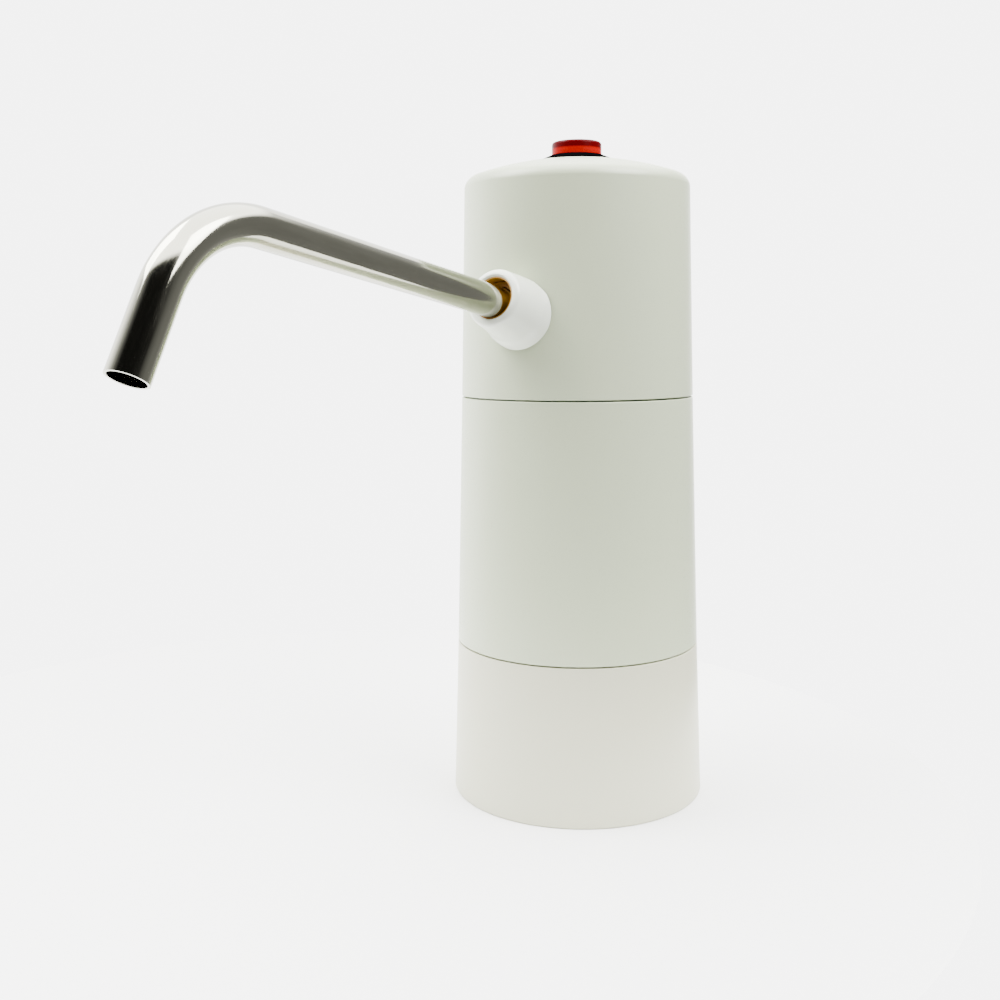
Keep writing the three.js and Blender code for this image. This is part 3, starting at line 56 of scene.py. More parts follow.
MM = 0.001
CLEARANCE = 0.3
SEAT_GAP = 0.2
OVERLAP = 1
COLUMN = [(0, 40), (48.3, 38.65), (126.9, 36.9), (192.508, 35.7)]
SEAM = 0.5
SEAM_ROUND, RIM_ROUND = 0.25, 0.6
WALL = 2.5
SOCKET_DEPTH = 43.5
CEILING_TOP = 47.0
FITTING_HOLE = 5.3
NECK_RING = (30.0, 32.0)
NECK_RING_RISE = 9.0
SPIGOT_TOP = 54.3
SPIGOT_WALL = 2.0
RIB_COUNT = 12
RIB_THICKNESS = 1.6
RIB_LOW, RIB_SINK, RIB_ROUND = 14.0, 0.5, 0.4
TIE_ROD_CIRCLE = 24.5
TIE_ROD_ANGLES = (30, 150, 270)
TIE_ROD_HEAD, TIE_ROD_SHANK = 2.8, 1.5
SINK_RIM, SINK_DEPTH = 0.6, 1.9
SHARP_EDGE = radians(32)


def column_radius(height):
    """Radius of the column's outer face at a height."""
    for (low, low_radius), (high, high_radius) in zip(COLUMN, COLUMN[1:]):
        if height <= high:
            break
    return low_radius + (high_radius - low_radius) * (height - low) / (high - low)


def turned(corners, steps=128):
    """A form spun about the Z axis from (radius, height) corners, in millimetres."""
    form = bmesh.new()
    outline = [form.verts.new((radius, 0, height)) for radius, height in corners]
    for first, second in zip(outline, outline[1:] + outline[:1]):
        if first.co.x or second.co.x:
            form.edges.new((first, second))
    bmesh.ops.spin(form, geom=form.verts[:] + form.edges[:], axis=(0, 0, 1), angle=2 * pi,
                   steps=steps, use_merge=True)
    bmesh.ops.remove_doubles(form, verts=form.verts, dist=0.0005)
    bmesh.ops.recalc_face_normals(form, faces=form.faces)
    return form


def rounded(form, width, *corners, segments=3):
    """Rounds the edges that run through the given (radius, height) corners of a turned form."""
    def at_corner(vert):
        radius = sqrt(vert.co.x ** 2 + vert.co.y ** 2)
        return any(abs(radius - r) < 0.02 and abs(vert.co.z - z) < 0.02 for r, z in corners)
    edges = [e for e in form.edges if all(at_corner(v) for v in e.verts)
             and abs(e.verts[0].co.z - e.verts[1].co.z) < 0.001]
    bmesh.ops.bevel(form, geom=edges, offset=width, segments=segments, affect='EDGES',
                    profile=0.5, material=-1, clamp_overlap=True)
    return form


def block(width, depth, height, centre):
    """A rectangular form in millimetres about a centre."""
    form = bmesh.new()
    bmesh.ops.create_cube(form, size=1)
    bmesh.ops.scale(form, vec=(width, depth, height), verts=form.verts)
    bmesh.ops.translate(form, vec=centre, verts=form.verts)
    return form


def pin(radius, low, high, x=0, y=0, sides=32):
    """A straight round form along Z."""
    form = bmesh.new()
    bmesh.ops.create_cone(form, cap_ends=True, segments=sides, radius1=radius, radius2=radius,
                          depth=high - low)
    bmesh.ops.translate(form, vec=(x, y, (low + high) / 2), verts=form.verts)
    return form


def combined(form, operation, tools):
    """Joins tool forms to a form, or cuts them from it, and uses them up."""
    objects = []
    for source in [form, *tools]:
        mesh = bpy.data.meshes.new("tool")
        source.to_mesh(mesh)
        source.free()
        objects.append(bpy.data.objects.new("tool", mesh))
        bpy.context.scene.collection.objects.link(objects[-1])
    for tool in objects[1:]:
        modifier = objects[0].modifiers.new("tool", 'BOOLEAN')
        modifier.operation = operation
        modifier.solver = 'EXACT'
        modifier.object = tool
    graph = bpy.context.evaluated_depsgraph_get()
    result = bmesh.new()
    result.from_mesh(objects[0].evaluated_get(graph).to_mesh())
    for made in objects:
        mesh = made.data
        bpy.data.objects.remove(made)
        bpy.data.meshes.remove(mesh)
    return result


def placed(form, matrix):
    """Moves a form by a matrix in millimetres."""
    bmesh.ops.transform(form, matrix=matrix, verts=form.verts)
    return form


def make_piece(name, form, material, body, *nodes):
    """Makes a smooth-shaded piece of a form in millimetres, for the CAD nodes it replaces, on a body."""
    bmesh.ops.scale(form, vec=(MM, MM, MM), verts=form.verts)
    for face in form.faces:
        face.smooth = True
    for edge in form.edges:
        if len(edge.link_faces) == 2:
            edge.smooth = edge.calc_face_angle() < SHARP_EDGE
    mesh = bpy.data.meshes.new(name)
    form.to_mesh(mesh)
    form.free()
    mesh.materials.append(material)
    made = bpy.data.objects.new(name, mesh)
    bpy.context.scene.collection.objects.link(made)
    weighted = made.modifiers.new("even shading", 'WEIGHTED_NORMAL')
    weighted.keep_sharp = True
    if body:
        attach(made, body)
    if nodes:
        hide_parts(*nodes)
    return made


def linear(hex_colour):
    """An sRGB hex colour as linear RGBA."""
    channels = [int(hex_colour[i:i + 2], 16) / 255 for i in (0, 2, 4)]
    return [c / 12.92 if c <= 0.04045 else ((c + 0.055) / 1.055) ** 2.4 for c in channels] + [1.0]


def add_node(material, kind, inputs, **settings):
    """Adds a shader node with its settings; an input is a value or the socket that feeds it."""
    node = material.node_tree.nodes.new(kind)
    for key, value in settings.items():
        setattr(node, key, value)
    for key, value in inputs.items():
        if isinstance(value, bpy.types.NodeSocket):
            material.node_tree.links.new(value, node.inputs[key])
        else:
            node.inputs[key].default_value = value
    return node


def new_material(name):
    """An empty node material and its output node."""
    material = bpy.data.materials.new(name)
    material.use_nodes = True
    material.node_tree.nodes.clear()
    return material, material.node_tree.nodes.new("ShaderNodeOutputMaterial")


def grain(size):
    """Noise scale for a grain of a size in millimetres."""
    return 1 / (size * MM)


def moulded_plastic(name, light, dark, roughness, texture, depth, specular=0.5, coat=0.0):
    """Moulded thermoplastic: a fine cavity texture, and colour that drifts a little."""
    material, output = new_material(name)
    place = add_node(material, "ShaderNodeTexCoord", {}).outputs["Object"]
    drift = add_node(material, "ShaderNodeTexNoise", {"Vector": place, "Scale": grain(45), "Detail": 2.0})
    colour = add_node(material, "ShaderNodeMix", {
        "Factor": drift.outputs["Fac"], "A": linear(light), "B": linear(dark)}, data_type='RGBA')
    cavity = add_node(material, "ShaderNodeTexNoise", {
        "Vector": place, "Scale": grain(texture), "Detail": 3.0, "Roughness": 0.6})
    rough = add_node(material, "ShaderNodeMapRange", {
        "Value": cavity.outputs["Fac"], "From Min": 0.3, "From Max": 0.7,
        "To Min": roughness - 0.04, "To Max": roughness + 0.05})
    bump = add_node(material, "ShaderNodeBump", {
        "Height": cavity.outputs["Fac"], "Strength": 0.25, "Distance": depth * MM})
    surface = add_node(material, "ShaderNodeBsdfPrincipled", {
        "Base Color": colour.outputs["Result"], "Roughness": rough.outputs["Result"],
        "Normal": bump.outputs["Normal"], "IOR": 1.53, "Specular IOR Level": specular,
        "Coat Weight": coat})
    material.node_tree.links.new(surface.outputs["BSDF"], output.inputs["Surface"])
    return material


# Warm white ABS with a fine satin mould texture of about 0.4 mm: soft highlights, no mirror image.
cream_abs = moulded_plastic("moulded ABS, cream white", "CCCCB2", "C8C8AF", 0.36, 0.4, 0.02)

skirt_spigot = column_radius(SPIGOT_TOP) - WALL - CLEARANCE
seam_low = COLUMN[1][0] - SEAM / 2
skirt = turned([
    (COLUMN[0][1] - WALL, 0),
    (COLUMN[0][1], 0),
    (column_radius(seam_low), seam_low),
    (skirt_spigot, seam_low),
    (skirt_spigot, SPIGOT_TOP),
    (skirt_spigot - SPIGOT_WALL, SPIGOT_TOP),
    (skirt_spigot - SPIGOT_WALL, CEILING_TOP),
    (FITTING_HOLE, CEILING_TOP),
    (FITTING_HOLE, SOCKET_DEPTH),
    (NECK_RING[0], SOCKET_DEPTH),
    (NECK_RING[0], NECK_RING_RISE),
    (NECK_RING[1], NECK_RING_RISE),
    (NECK_RING[1], SOCKET_DEPTH),
    (column_radius(SOCKET_DEPTH) - WALL, SOCKET_DEPTH),
], steps=180)
rounded(skirt, RIM_ROUND, (COLUMN[0][1], 0), segments=4)
rounded(skirt, SEAM_ROUND, (column_radius(seam_low), seam_low), (COLUMN[0][1] - WALL, 0))
rounded(skirt, RIB_ROUND, (NECK_RING[0], NECK_RING_RISE), (NECK_RING[1], NECK_RING_RISE))
rib_start, rib_end = NECK_RING[1] - RIB_SINK, column_radius(SOCKET_DEPTH) - WALL + OVERLAP
rib_top = SOCKET_DEPTH + OVERLAP
ribs = []
for i in range(RIB_COUNT):
    rib = block(rib_end - rib_start, RIB_THICKNESS, rib_top - RIB_LOW,
                ((rib_start + rib_end) / 2, 0, (rib_top + RIB_LOW) / 2))
    bmesh.ops.bevel(rib, geom=[e for e in rib.edges if all(v.co.z < RIB_LOW + OVERLAP for v in e.verts)],
                    offset=RIB_ROUND, segments=3, affect='EDGES', profile=0.5, material=-1)
    ribs.append(placed(rib, Matrix.Rotation(2 * pi * i / RIB_COUNT, 4, 'Z')))
skirt = combined(skirt, 'UNION', ribs)
head_hole, shank_hole = TIE_ROD_HEAD + CLEARANCE, TIE_ROD_SHANK + CLEARANCE
sink_top = CEILING_TOP - SOCKET_DEPTH + OVERLAP
countersinks = []
for angle in TIE_ROD_ANGLES:
    countersink = turned([
        (0, -OVERLAP), (head_hole, -OVERLAP), (head_hole, SINK_RIM), (shank_hole, SINK_DEPTH),
        (shank_hole, sink_top), (0, sink_top)], steps=40)
    countersinks.append(placed(countersink, Matrix.Translation((
        TIE_ROD_CIRCLE * cos(radians(angle)), TIE_ROD_CIRCLE * sin(radians(angle)), SOCKET_DEPTH))))
skirt = combined(skirt, 'DIFFERENCE', countersinks)
make_piece("skirt_moulding", skirt, cream_abs, "column", "base_skirt")

# Neck gasket: a soft sleeve with three grip lips that hold the jug's neck.
# Compression-moulded silicone in pale grey, pushed into the neck ring up to its flange.


def moulded_rubber(name, light, dark, roughness, texture, depth):
    """Moulded rubber: dull, with a dusty bloom in its fine texture."""
    material, output = new_material(name)
    place = add_node(material, "ShaderNodeTexCoord", {}).outputs["Object"]
    bloom = add_node(material, "ShaderNodeTexNoise", {"Vector": place, "Scale": grain(6), "Detail": 4.0})
    colour = add_node(material, "ShaderNodeMix", {
        "Factor": bloom.outputs["Fac"], "A": linear(light), "B": linear(dark)}, data_type='RGBA')
    skin = add_node(material, "ShaderNodeTexNoise", {"Vector": place, "Scale": grain(texture), "Detail": 2.0})
    rough = add_node(material, "ShaderNodeMapRange", {
        "Value": bloom.outputs["Fac"], "From Min": 0.3, "From Max": 0.7,
        "To Min": roughness - 0.06, "To Max": roughness + 0.06})
    bump = add_node(material, "ShaderNodeBump", {
        "Height": skin.outputs["Fac"], "Strength": 0.3, "Distance": depth * MM})
    surface = add_node(material, "ShaderNodeBsdfPrincipled", {
        "Base Color": colour.outputs["Result"], "Roughness": rough.outputs["Result"],
        "Normal": bump.outputs["Normal"], "IOR": 1.42, "Specular IOR Level": 0.4})
    material.node_tree.links.new(surface.outputs["BSDF"], output.inputs["Surface"])
    return material


# Pale grey silicone: matt, with a faint bloom that comes and goes over a few millimetres.
grey_silicone = moulded_rubber("moulded silicone, pale grey", "BFC1BD", "B0B2AE", 0.62, 0.3, 0.02)

gasket_bore, gasket_outer = 28.0, NECK_RING[0] - CLEARANCE
gasket_low, gasket_top = 6.4, SOCKET_DEPTH - CLEARANCE
gasket_flange, gasket_flange_top = 31.3, NECK_RING_RISE - SEAT_GAP
gasket_round = 0.35
lip_radius, lip_half, lip_count = 27.1, 1.2, 3
lip_corners = []
for i in range(lip_count):
    level = gasket_top - (gasket_top - gasket_low) / lip_count * (i + 0.5)
    lip_corners += [(gasket_bore, level + lip_half), (lip_radius, level), (gasket_bore, level - lip_half)]
gasket = turned([
    (gasket_bore, gasket_low), (gasket_flange, gasket_low), (gasket_flange, gasket_flange_top),
    (gasket_outer, gasket_flange_top), (gasket_outer, gasket_top), (gasket_bore, gasket_top), *lip_corners])
rounded(gasket, gasket_round, (gasket_flange, gasket_low), (gasket_flange, gasket_flange_top),
        (gasket_bore, gasket_low), *lip_corners[1::3])
make_piece("grip_gasket", gasket, grey_silicone, "column", "neck_gasket")

# Suction fitting: a flanged tube with a barb below for the suction hose and one above for the riser.
# One ABS moulding, held in the socket's ceiling by a rubber washer and a hexagon nut.

# White ABS with a finer texture than the housings, as small tools are polished further.
white_fitting = moulded_plastic("moulded ABS, white, small tools", "E9ECE7", "E2E5DF", 0.3, 0.25, 0.01)
# Black nitrile rubber: dull and slightly dusty.
black_nitrile = moulded_rubber("moulded nitrile, black", "242425", "191919", 0.66, 0.25, 0.015)

water_bore = 2.1
hose_barb, hose_barb_tip = 4.0, 27.7
riser_barb, riser_barb_root, riser_barb_tip = 2.65, 57.0, 63.0
stem_radius = FITTING_HOLE - CLEARANCE
flange_radius, flange_low, flange_high = 9.0, 39.7, 41.9
washer_low, washer_high = flange_high + SEAT_GAP, SOCKET_DEPTH - SEAT_GAP
nut_flats, nut_low, nut_high = 16, CEILING_TOP + SEAT_GAP, 50.8
fitting_round, washer_round = 0.3, 0.2


def barb(radius, root, tip, ridge=0.25, ridges=2):
    """Corners of a pipe end with saw-tooth ridges, from its root to its tip."""
    pitch = (tip - root) / (ridges + 1)
    corners = [(radius, root)]
    for i in range(1, ridges + 1):
        corners += [(radius, root + i * pitch), (radius + ridge, root + i * pitch)]
    return corners + [(radius, tip)]


fitting = turned([
    (water_bore, hose_barb_tip), *reversed(barb(hose_barb, flange_low, hose_barb_tip)),
    (flange_radius, flange_low), (flange_radius, flange_high), (stem_radius, flange_high),
    (stem_radius, riser_barb_root), *barb(riser_barb, riser_barb_root, riser_barb_tip),
    (water_bore, riser_barb_tip)], steps=96)
rounded(fitting, fitting_round, (flange_radius, flange_low), (hose_barb, hose_barb_tip),
        (flange_radius, flange_high))
make_piece("suction_barb", fitting, white_fitting, "column", "suction_fitting")
washer = turned([(FITTING_HOLE, washer_low), (flange_radius, washer_low), (flange_radius, washer_high),
                 (FITTING_HOLE, washer_high)], steps=96)
rounded(washer, washer_round, (flange_radius, washer_low), (flange_radius, washer_high))
make_piece("flat_washer", washer, black_nitrile, "column", "suction_washer")


def hexagon_nut(flats, bore, low, high, chamfer=1):
    """A hexagon nut with its corners turned down at both ends."""
    nut = pin(flats / sqrt(3), low, high, sides=6)
    beyond = flats / sqrt(3) + SEAT_GAP
    spindle = turned([(0, low), (flats / 2, low), (beyond, low + chamfer), (beyond, high - chamfer),
                      (flats / 2, high), (0, high)], steps=72)
    nut = placed(nut, Matrix.Rotation(radians(30), 4, 'Z'))
    nut = combined(nut, 'INTERSECT', [spindle])
    return combined(nut, 'DIFFERENCE', [pin(bore, low - OVERLAP, high + OVERLAP, sides=64)])


suction_nut = hexagon_nut(nut_flats, FITTING_HOLE, nut_low, nut_high)
make_piece("barb_nut", suction_nut, white_fitting, "column", "suction_nut")

# Middle housing: the plain battery sleeve between skirt and pump head.
# Injection-moulded ABS in a cool white, clamped between its neighbours by the tie rods.

# Cool white ABS, satin, a touch greener and glossier than the skirt's cream.
white_abs = moulded_plastic("moulded ABS, cool white", "BFC8AA", "BBC4A7", 0.3, 0.4, 0.015)

sleeve_low, sleeve_high = COLUMN[1][0] + SEAM / 2, COLUMN[2][0] - SEAM / 2
sleeve = turned([
    (column_radius(sleeve_low) - WALL, sleeve_low), (column_radius(sleeve_low), sleeve_low),
    (column_radius(sleeve_high), sleeve_high), (column_radius(sleeve_high) - WALL, sleeve_high)], steps=180)
rounded(sleeve, SEAM_ROUND, (column_radius(sleeve_low), sleeve_low),
        (column_radius(sleeve_high), sleeve_high))
charge_height, jack_radius, board_middle = 64.0, 4.0, 22
charge_hole = pin(jack_radius + CLEARANCE, board_middle, COLUMN[0][1] + OVERLAP, sides=64)
placed(charge_hole, Matrix.Translation((0, 0, charge_height)) @ Matrix.Rotation(radians(-90), 4, 'X'))
sleeve = combined(sleeve, 'DIFFERENCE', [charge_hole])
make_piece("battery_sleeve", sleeve, white_abs, "column", "mid_housing")

# Charging socket: a round jack on the control board, whose nose stands in the housing's hole.
# Black moulded nylon body; the real centre pin is nickel-plated, and here it is turned in one with the black
# body.

# Black nylon: semi-gloss with a faint mould texture.
black_nylon = moulded_plastic("moulded nylon, black", "17181A", "101113", 0.34, 0.3, 0.01)

board_half, mouth_sink, pin_sink = 0.8, 0.5, 0.2
board_face = board_middle + board_half + SEAT_GAP
jack_mouth = column_radius(charge_height) - mouth_sink - board_face
jack_body, jack_nose, jack_bore, jack_floor, nose_floor = 9, 4.4, 2.75, 2.2, 2.25
jack_round, body_round = 0.3, 0.4
pin_radius, pin_tip, plug_reach = 1.0, jack_mouth - pin_sink, 30
jack = turned([
    (0, jack_nose), (jack_radius, jack_nose), (jack_radius, jack_mouth), (jack_bore, jack_mouth),
    (jack_bore, nose_floor), (pin_radius, nose_floor), (pin_radius, pin_tip), (0, pin_tip)], steps=64)
rounded(jack, jack_round, (jack_radius, jack_mouth), (jack_bore, jack_mouth), (pin_radius, pin_tip))
jack = placed(jack, Matrix.Rotation(radians(-90), 4, 'X'))
jack_block = block(jack_body, jack_body, jack_body, (0, jack_body / 2, 0))
bmesh.ops.bevel(jack_block, geom=jack_block.edges[:], offset=body_round, segments=2, affect='EDGES',
                profile=0.5, material=-1)
jack = combined(jack, 'UNION', [jack_block])
plug_space = turned([(pin_radius, jack_floor), (jack_bore, jack_floor), (jack_bore, plug_reach),
                     (pin_radius, plug_reach)], steps=64)
jack = combined(jack, 'DIFFERENCE', [placed(plug_space, Matrix.Rotation(radians(-90), 4, 'X'))])
make_piece("charging_jack", placed(jack, Matrix.Translation((0, board_face, charge_height))),
           black_nylon, "column", "charge_socket")

# Battery tray, spacer band and the two cells, with the nickel strip that links the cells.
# The tray and the band are moulded in grey glass-filled nylon, and the tray drops into the skirt's spigot.
# The cells are steel cans in a blue shrink sleeve.

# Grey glass-filled nylon: matt, with a visibly grainy skin from the glass fibres.
grey_nylon = moulded_plastic("moulded nylon, glass-filled grey", "A3A6A6", "969A9A", 0.52, 0.5, 0.04)
# Heat-shrunk PVC film: thin, glossy and drawn tight over the can.
blue_sleeve = moulded_plastic("shrunk PVC film, blue", "2E6DAC", "2A65A1", 0.28, 1.2, 0.02)


def finish_nodes(material, *nodes):
    """Gives CAD nodes that are shown as they are their finish."""
    for node in nodes:
        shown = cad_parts[node]
        shown.data.materials.clear()
        shown.data.materials.append(material)


def worked_metal(name, light, dark, roughness, along, across, depth, axis=2, metallic=1.0):
    """Metal with fine lines from drawing, turning or grinding along one axis."""
    material, output = new_material(name)
    place = add_node(material, "ShaderNodeTexCoord", {}).outputs["Object"]
    scale = [grain(across)] * 3
    scale[axis] = grain(along)
    stretched = add_node(material, "ShaderNodeMapping", {"Vector": place, "Scale": scale})
    lines = add_node(material, "ShaderNodeTexNoise", {
        "Vector": stretched.outputs["Vector"], "Scale": 1.0, "Detail": 4.0, "Roughness": 0.7})
    colour = add_node(material, "ShaderNodeMix", {
        "Factor": lines.outputs["Fac"], "A": linear(light), "B": linear(dark)}, data_type='RGBA')
    rough = add_node(material, "ShaderNodeMapRange", {
        "Value": lines.outputs["Fac"], "From Min": 0.3, "From Max": 0.7,
        "To Min": roughness - 0.06, "To Max": roughness + 0.08})
    bump = add_node(material, "ShaderNodeBump", {
        "Height": lines.outputs["Fac"], "Strength": 0.3, "Distance": depth * MM})
    surface = add_node(material, "ShaderNodeBsdfPrincipled", {
        "Base Color": colour.outputs["Result"], "Roughness": rough.outputs["Result"],
        "Normal": bump.outputs["Normal"], "Metallic": metallic})
    material.node_tree.links.new(surface.outputs["BSDF"], output.inputs["Surface"])
    return material


# Nickel-plated strip and wire: bright, faintly yellow, with rolling lines.
nickel_plate = worked_metal("nickel-plated steel", "C9C6BC", "B5B2A8", 0.24, 3, 0.15, 0.004, axis=0)
finish_nodes(grey_nylon, "battery_tray", "cell_band")
finish_nodes(nickel_plate, "cell_link")

cell_radius, cell_low, cell_length = 9.2, 49.9, 65.0
cell_offset, cell_row = 10.6, -16.5
sleeve_opening, opening_depth = 5.0, 0.4
terminal_radius, terminal_top = 3.0, cell_length + 1
cell_round, terminal_round = 0.8, 0.3
for i, side in enumerate((-1, 1), start=1):
    cell = turned([
        (0, 0), (cell_radius, 0), (cell_radius, cell_length), (sleeve_opening, cell_length),
        (sleeve_opening, cell_length - opening_depth), (terminal_radius, cell_length - opening_depth),
        (terminal_radius, terminal_top), (0, terminal_top)], steps=96)
    rounded(cell, cell_round, (cell_radius, 0), (cell_radius, cell_length), segments=4)
    rounded(cell, terminal_round, (terminal_radius, terminal_top))
    placed(cell, Matrix.Translation((side * cell_offset, cell_row, cell_low)))
    make_piece(f"wrapped_cell_{i}", cell, blue_sleeve, "column", f"battery_cell_{i}")

# Control board: glass-epoxy laminate under a green solder mask, with its coil and its chip.
# It stands in two slotted guides of the battery tray.

# Solder mask: green lacquer over copper tracks, glossy in the open and duller over the laminate's weave.
solder_mask = moulded_plastic("solder mask on epoxy laminate", "23713F", "1B6235", 0.3, 0.8, 0.02, coat=0.3)
finish_nodes(solder_mask, "control_board")

# Riser and outlet hoses: soft milky silicone tube, cut from the roll.
# Each is pushed over the barbs at its two ends, which hold it by their ridges.

# Milky silicone: waxy, slightly yellow, softly glossy.
milky_silicone = moulded_rubber("extruded silicone, milky", "DAD6C8", "CDC8B8", 0.36, 0.6, 0.01)
finish_nodes(milky_silicone, "riser_hose", "outlet_hose")

# Tie rods and screws: turned or cold-headed steel with a bright zinc plate.
# Three rods with cross recesses draw skirt, sleeve and head together from below.

# Zinc plate: cool blue-white, with fine turning lines.
zinc_plate = worked_metal("zinc-plated steel", "BEC2C7", "A5AAB1", 0.3, 0.12, 2, 0.004)

HEAD_BOTTOM = 118.9
rod_low = SOCKET_DEPTH + SEAT_GAP
rod_length = HEAD_BOTTOM - rod_low
head_rim, head_depth, rod_round = 0.4, 1.6, 0.15
recess_length, recess_width, recess_depth = 2.6, 0.7, 2.0
for i, angle in enumerate(TIE_ROD_ANGLES, start=1):
    rod = turned([(0, 0), (TIE_ROD_HEAD, 0), (TIE_ROD_HEAD, head_rim), (TIE_ROD_SHANK, head_depth),
                  (TIE_ROD_SHANK, rod_length), (0, rod_length)], steps=48)
    rounded(rod, rod_round, (TIE_ROD_HEAD, 0), (TIE_ROD_HEAD, head_rim), (TIE_ROD_SHANK, rod_length),
            segments=2)
    slot = block(recess_length, recess_width, recess_depth, (0, 0, 0))
    recess = combined(slot, 'UNION', [block(recess_width, recess_length, recess_depth, (0, 0, 0))])
    rod = combined(rod, 'DIFFERENCE', [recess])
    placed(rod, Matrix.Translation((TIE_ROD_CIRCLE * cos(radians(angle)),
                                    TIE_ROD_CIRCLE * sin(radians(angle)), rod_low)))
    make_piece(f"clamp_rod_{i}", rod, zinc_plate, "column", f"tie_rod_{i}")
finish_nodes(zinc_plate, *[f"deck_screw_{i}" for i in (1, 2, 3)], *[f"pump_screw_{i}" for i in (1, 2, 3, 4)],
             "holder_screw_1", "holder_screw_2", "idler_pin", "motor_shaft", "switch_washer")

# Pump deck, gear pump and spout holder: grey glass-filled nylon mouldings screwed to the deck from below.
# Two machined brass gears run in the pump's case, and a lip seal keeps the water from the motor.

# Brass: warm yellow, cut across the teeth, so the lines run along the gear's axis.
machined_brass = worked_metal("machined brass", "C9A957", "B0903F", 0.27, 2, 0.12, 0.004)
finish_nodes(grey_nylon, "pump_deck", "pump_cover", "pump_body", "pump_plate", "spout_holder")
finish_nodes(machined_brass, "drive_gear", "driven_gear", "front_bush")
finish_nodes(black_nitrile, "shaft_seal", "spout_o_ring")

# Motor: a deep-drawn steel can with two ferrite magnets, a three-pole rotor and a nylon end cap.
# The brushes stand on spring blades that come out through the end cap.

# Bright nickel over drawn steel: smooth, with faint lines up the can.
motor_plate = worked_metal("nickel-plated drawn steel", "B4B8BB", "9EA3A7", 0.22, 6, 0.4, 0.003)
# Sintered ferrite: dark, dull and slightly sparkling.
ferrite = moulded_plastic("sintered ferrite", "3E3E41", "333336", 0.62, 0.2, 0.02)
# Enamelled copper wire: reddish and glossy under its varnish, in turns about 0.35 mm apart.
copper_wire = worked_metal("varnished copper", "C07A44", "9E5C2E", 0.3, 0.35, 3, 0.01)

can_radius, can_wall, can_length, can_round, bush_hole = 12.2, 0.8, 30.8, 0.7, 3.3
can_inside = can_radius - can_wall
can_place = (0, 17, 136.7)
motor_can = turned([(bush_hole, 0), (can_radius, 0), (can_radius, can_length), (can_inside, can_length),
                    (can_inside, can_wall), (bush_hole, can_wall)], steps=128)
rounded(motor_can, can_round, (can_radius, 0), segments=4)
placed(motor_can, Matrix.Translation(can_place))
make_piece("drawn_motor_can", motor_can, motor_plate, "column", "motor_can")
finish_nodes(ferrite, "magnet_1", "magnet_2")
finish_nodes(copper_wire, "armature", "brush_1", "brush_2")
finish_nodes(black_nylon, "end_cap")

# Top housing: the pump head's cover, with a rounded shoulder, a shallow domed crown and the button's seat.
# Injection-moulded in the sleeve's cool white ABS, with three screw bosses on its inner wall.

DOME_RADIUS = 102.0
CROWN = 201.02
CROWN_SEAT = 12.4
CROWN_THICKNESS = 3.2
BARREL_RADIUS = 9.0
SHOULDER_ROUND, SHOULDER_SHARE = 4.0, 0.995
HEAD_SPIGOT = (32.1, 34.1)
INNER_DOME_START = 30.5
BOSS_ANGLES = (60, 180, 300)
BOSS_CIRCLE, BOSS_RADIUS, BOSS_RISE, BOSS_LENGTH = 28.4, 3.2, 3.2, 14
BOSS_HOLE, BOSS_HOLE_DEPTH = 1.55, 9.3
WEB_WIDTH, WEB_REACH, WEB_FOOT_REACH = 3.2, 4.7, 7.0
COLLAR_RISE = radians(16)
COLLAR_AXIS_HEIGHT = 142.966
COLLAR_REACH = 51.587
COLLAR_SPIGOT, COLLAR_START = 9.0, 18
collar_frame = (Matrix.Translation((0, 0, COLLAR_AXIS_HEIGHT))
                @ Matrix.Rotation(pi / 2 - COLLAR_RISE, 4, 'X'))


def bow(centre_height, radius, start, end, steps):
    """Corners of an arc about a point on the axis, from one radius to another."""
    form = bmesh.new()
    first = form.verts.new((start, 0, centre_height + sqrt(radius ** 2 - start ** 2)))
    bmesh.ops.spin(form, geom=[first], cent=(0, 0, centre_height), axis=(0, 1, 0), steps=steps,
                   angle=asin(end / radius) - asin(start / radius))
    arc = [(v.co.x, v.co.z) for v in sorted(form.verts, key=lambda v: -v.co.x)]
    form.free()
    return arc


head_seam = COLUMN[2][0] + SEAM / 2
shoulder_height, shoulder_radius = COLUMN[3]
dome_centre = CROWN - sqrt(DOME_RADIUS ** 2 - CROWN_SEAT ** 2)
dome_start = (shoulder_radius - SHOULDER_ROUND) * DOME_RADIUS / (DOME_RADIUS - SHOULDER_ROUND)
dome_start_height = dome_centre + sqrt(DOME_RADIUS ** 2 - dome_start ** 2)
dome_slope = dome_start / sqrt(DOME_RADIUS ** 2 - dome_start ** 2)
wall_slope = (COLUMN[2][1] - shoulder_radius) / (shoulder_height - COLUMN[2][0])
wall_offset = dome_start - shoulder_radius - wall_slope * shoulder_height
corner_height = (dome_start_height + dome_slope * wall_offset) / (1 - dome_slope * wall_slope)
corner = (shoulder_radius - wall_slope * (corner_height - shoulder_height), corner_height)
outer_dome = bow(dome_centre, DOME_RADIUS, dome_start, CROWN_SEAT, 18)
pad_radius = sqrt((DOME_RADIUS - WALL) ** 2 - (CROWN - CROWN_THICKNESS - dome_centre) ** 2)
inner_dome = bow(dome_centre, DOME_RADIUS - WALL, INNER_DOME_START, pad_radius, 8)
button_hole = BARREL_RADIUS + CLEARANCE
ledge = head_seam + WALL
head = turned([
    (HEAD_SPIGOT[0], HEAD_BOTTOM), (HEAD_SPIGOT[1], HEAD_BOTTOM), (HEAD_SPIGOT[1], head_seam),
    (column_radius(head_seam), head_seam), corner, *outer_dome, (button_hole, CROWN),
    (button_hole, inner_dome[-1][1]), *reversed(inner_dome),
    (column_radius(shoulder_height) - WALL, shoulder_height), (column_radius(ledge) - WALL, ledge),
    (HEAD_SPIGOT[0], ledge)], steps=180)
shoulder_width = sqrt((corner[0] - dome_start) ** 2 + (corner[1] - dome_start_height) ** 2)
rounded(head, shoulder_width * SHOULDER_SHARE, corner, segments=10)
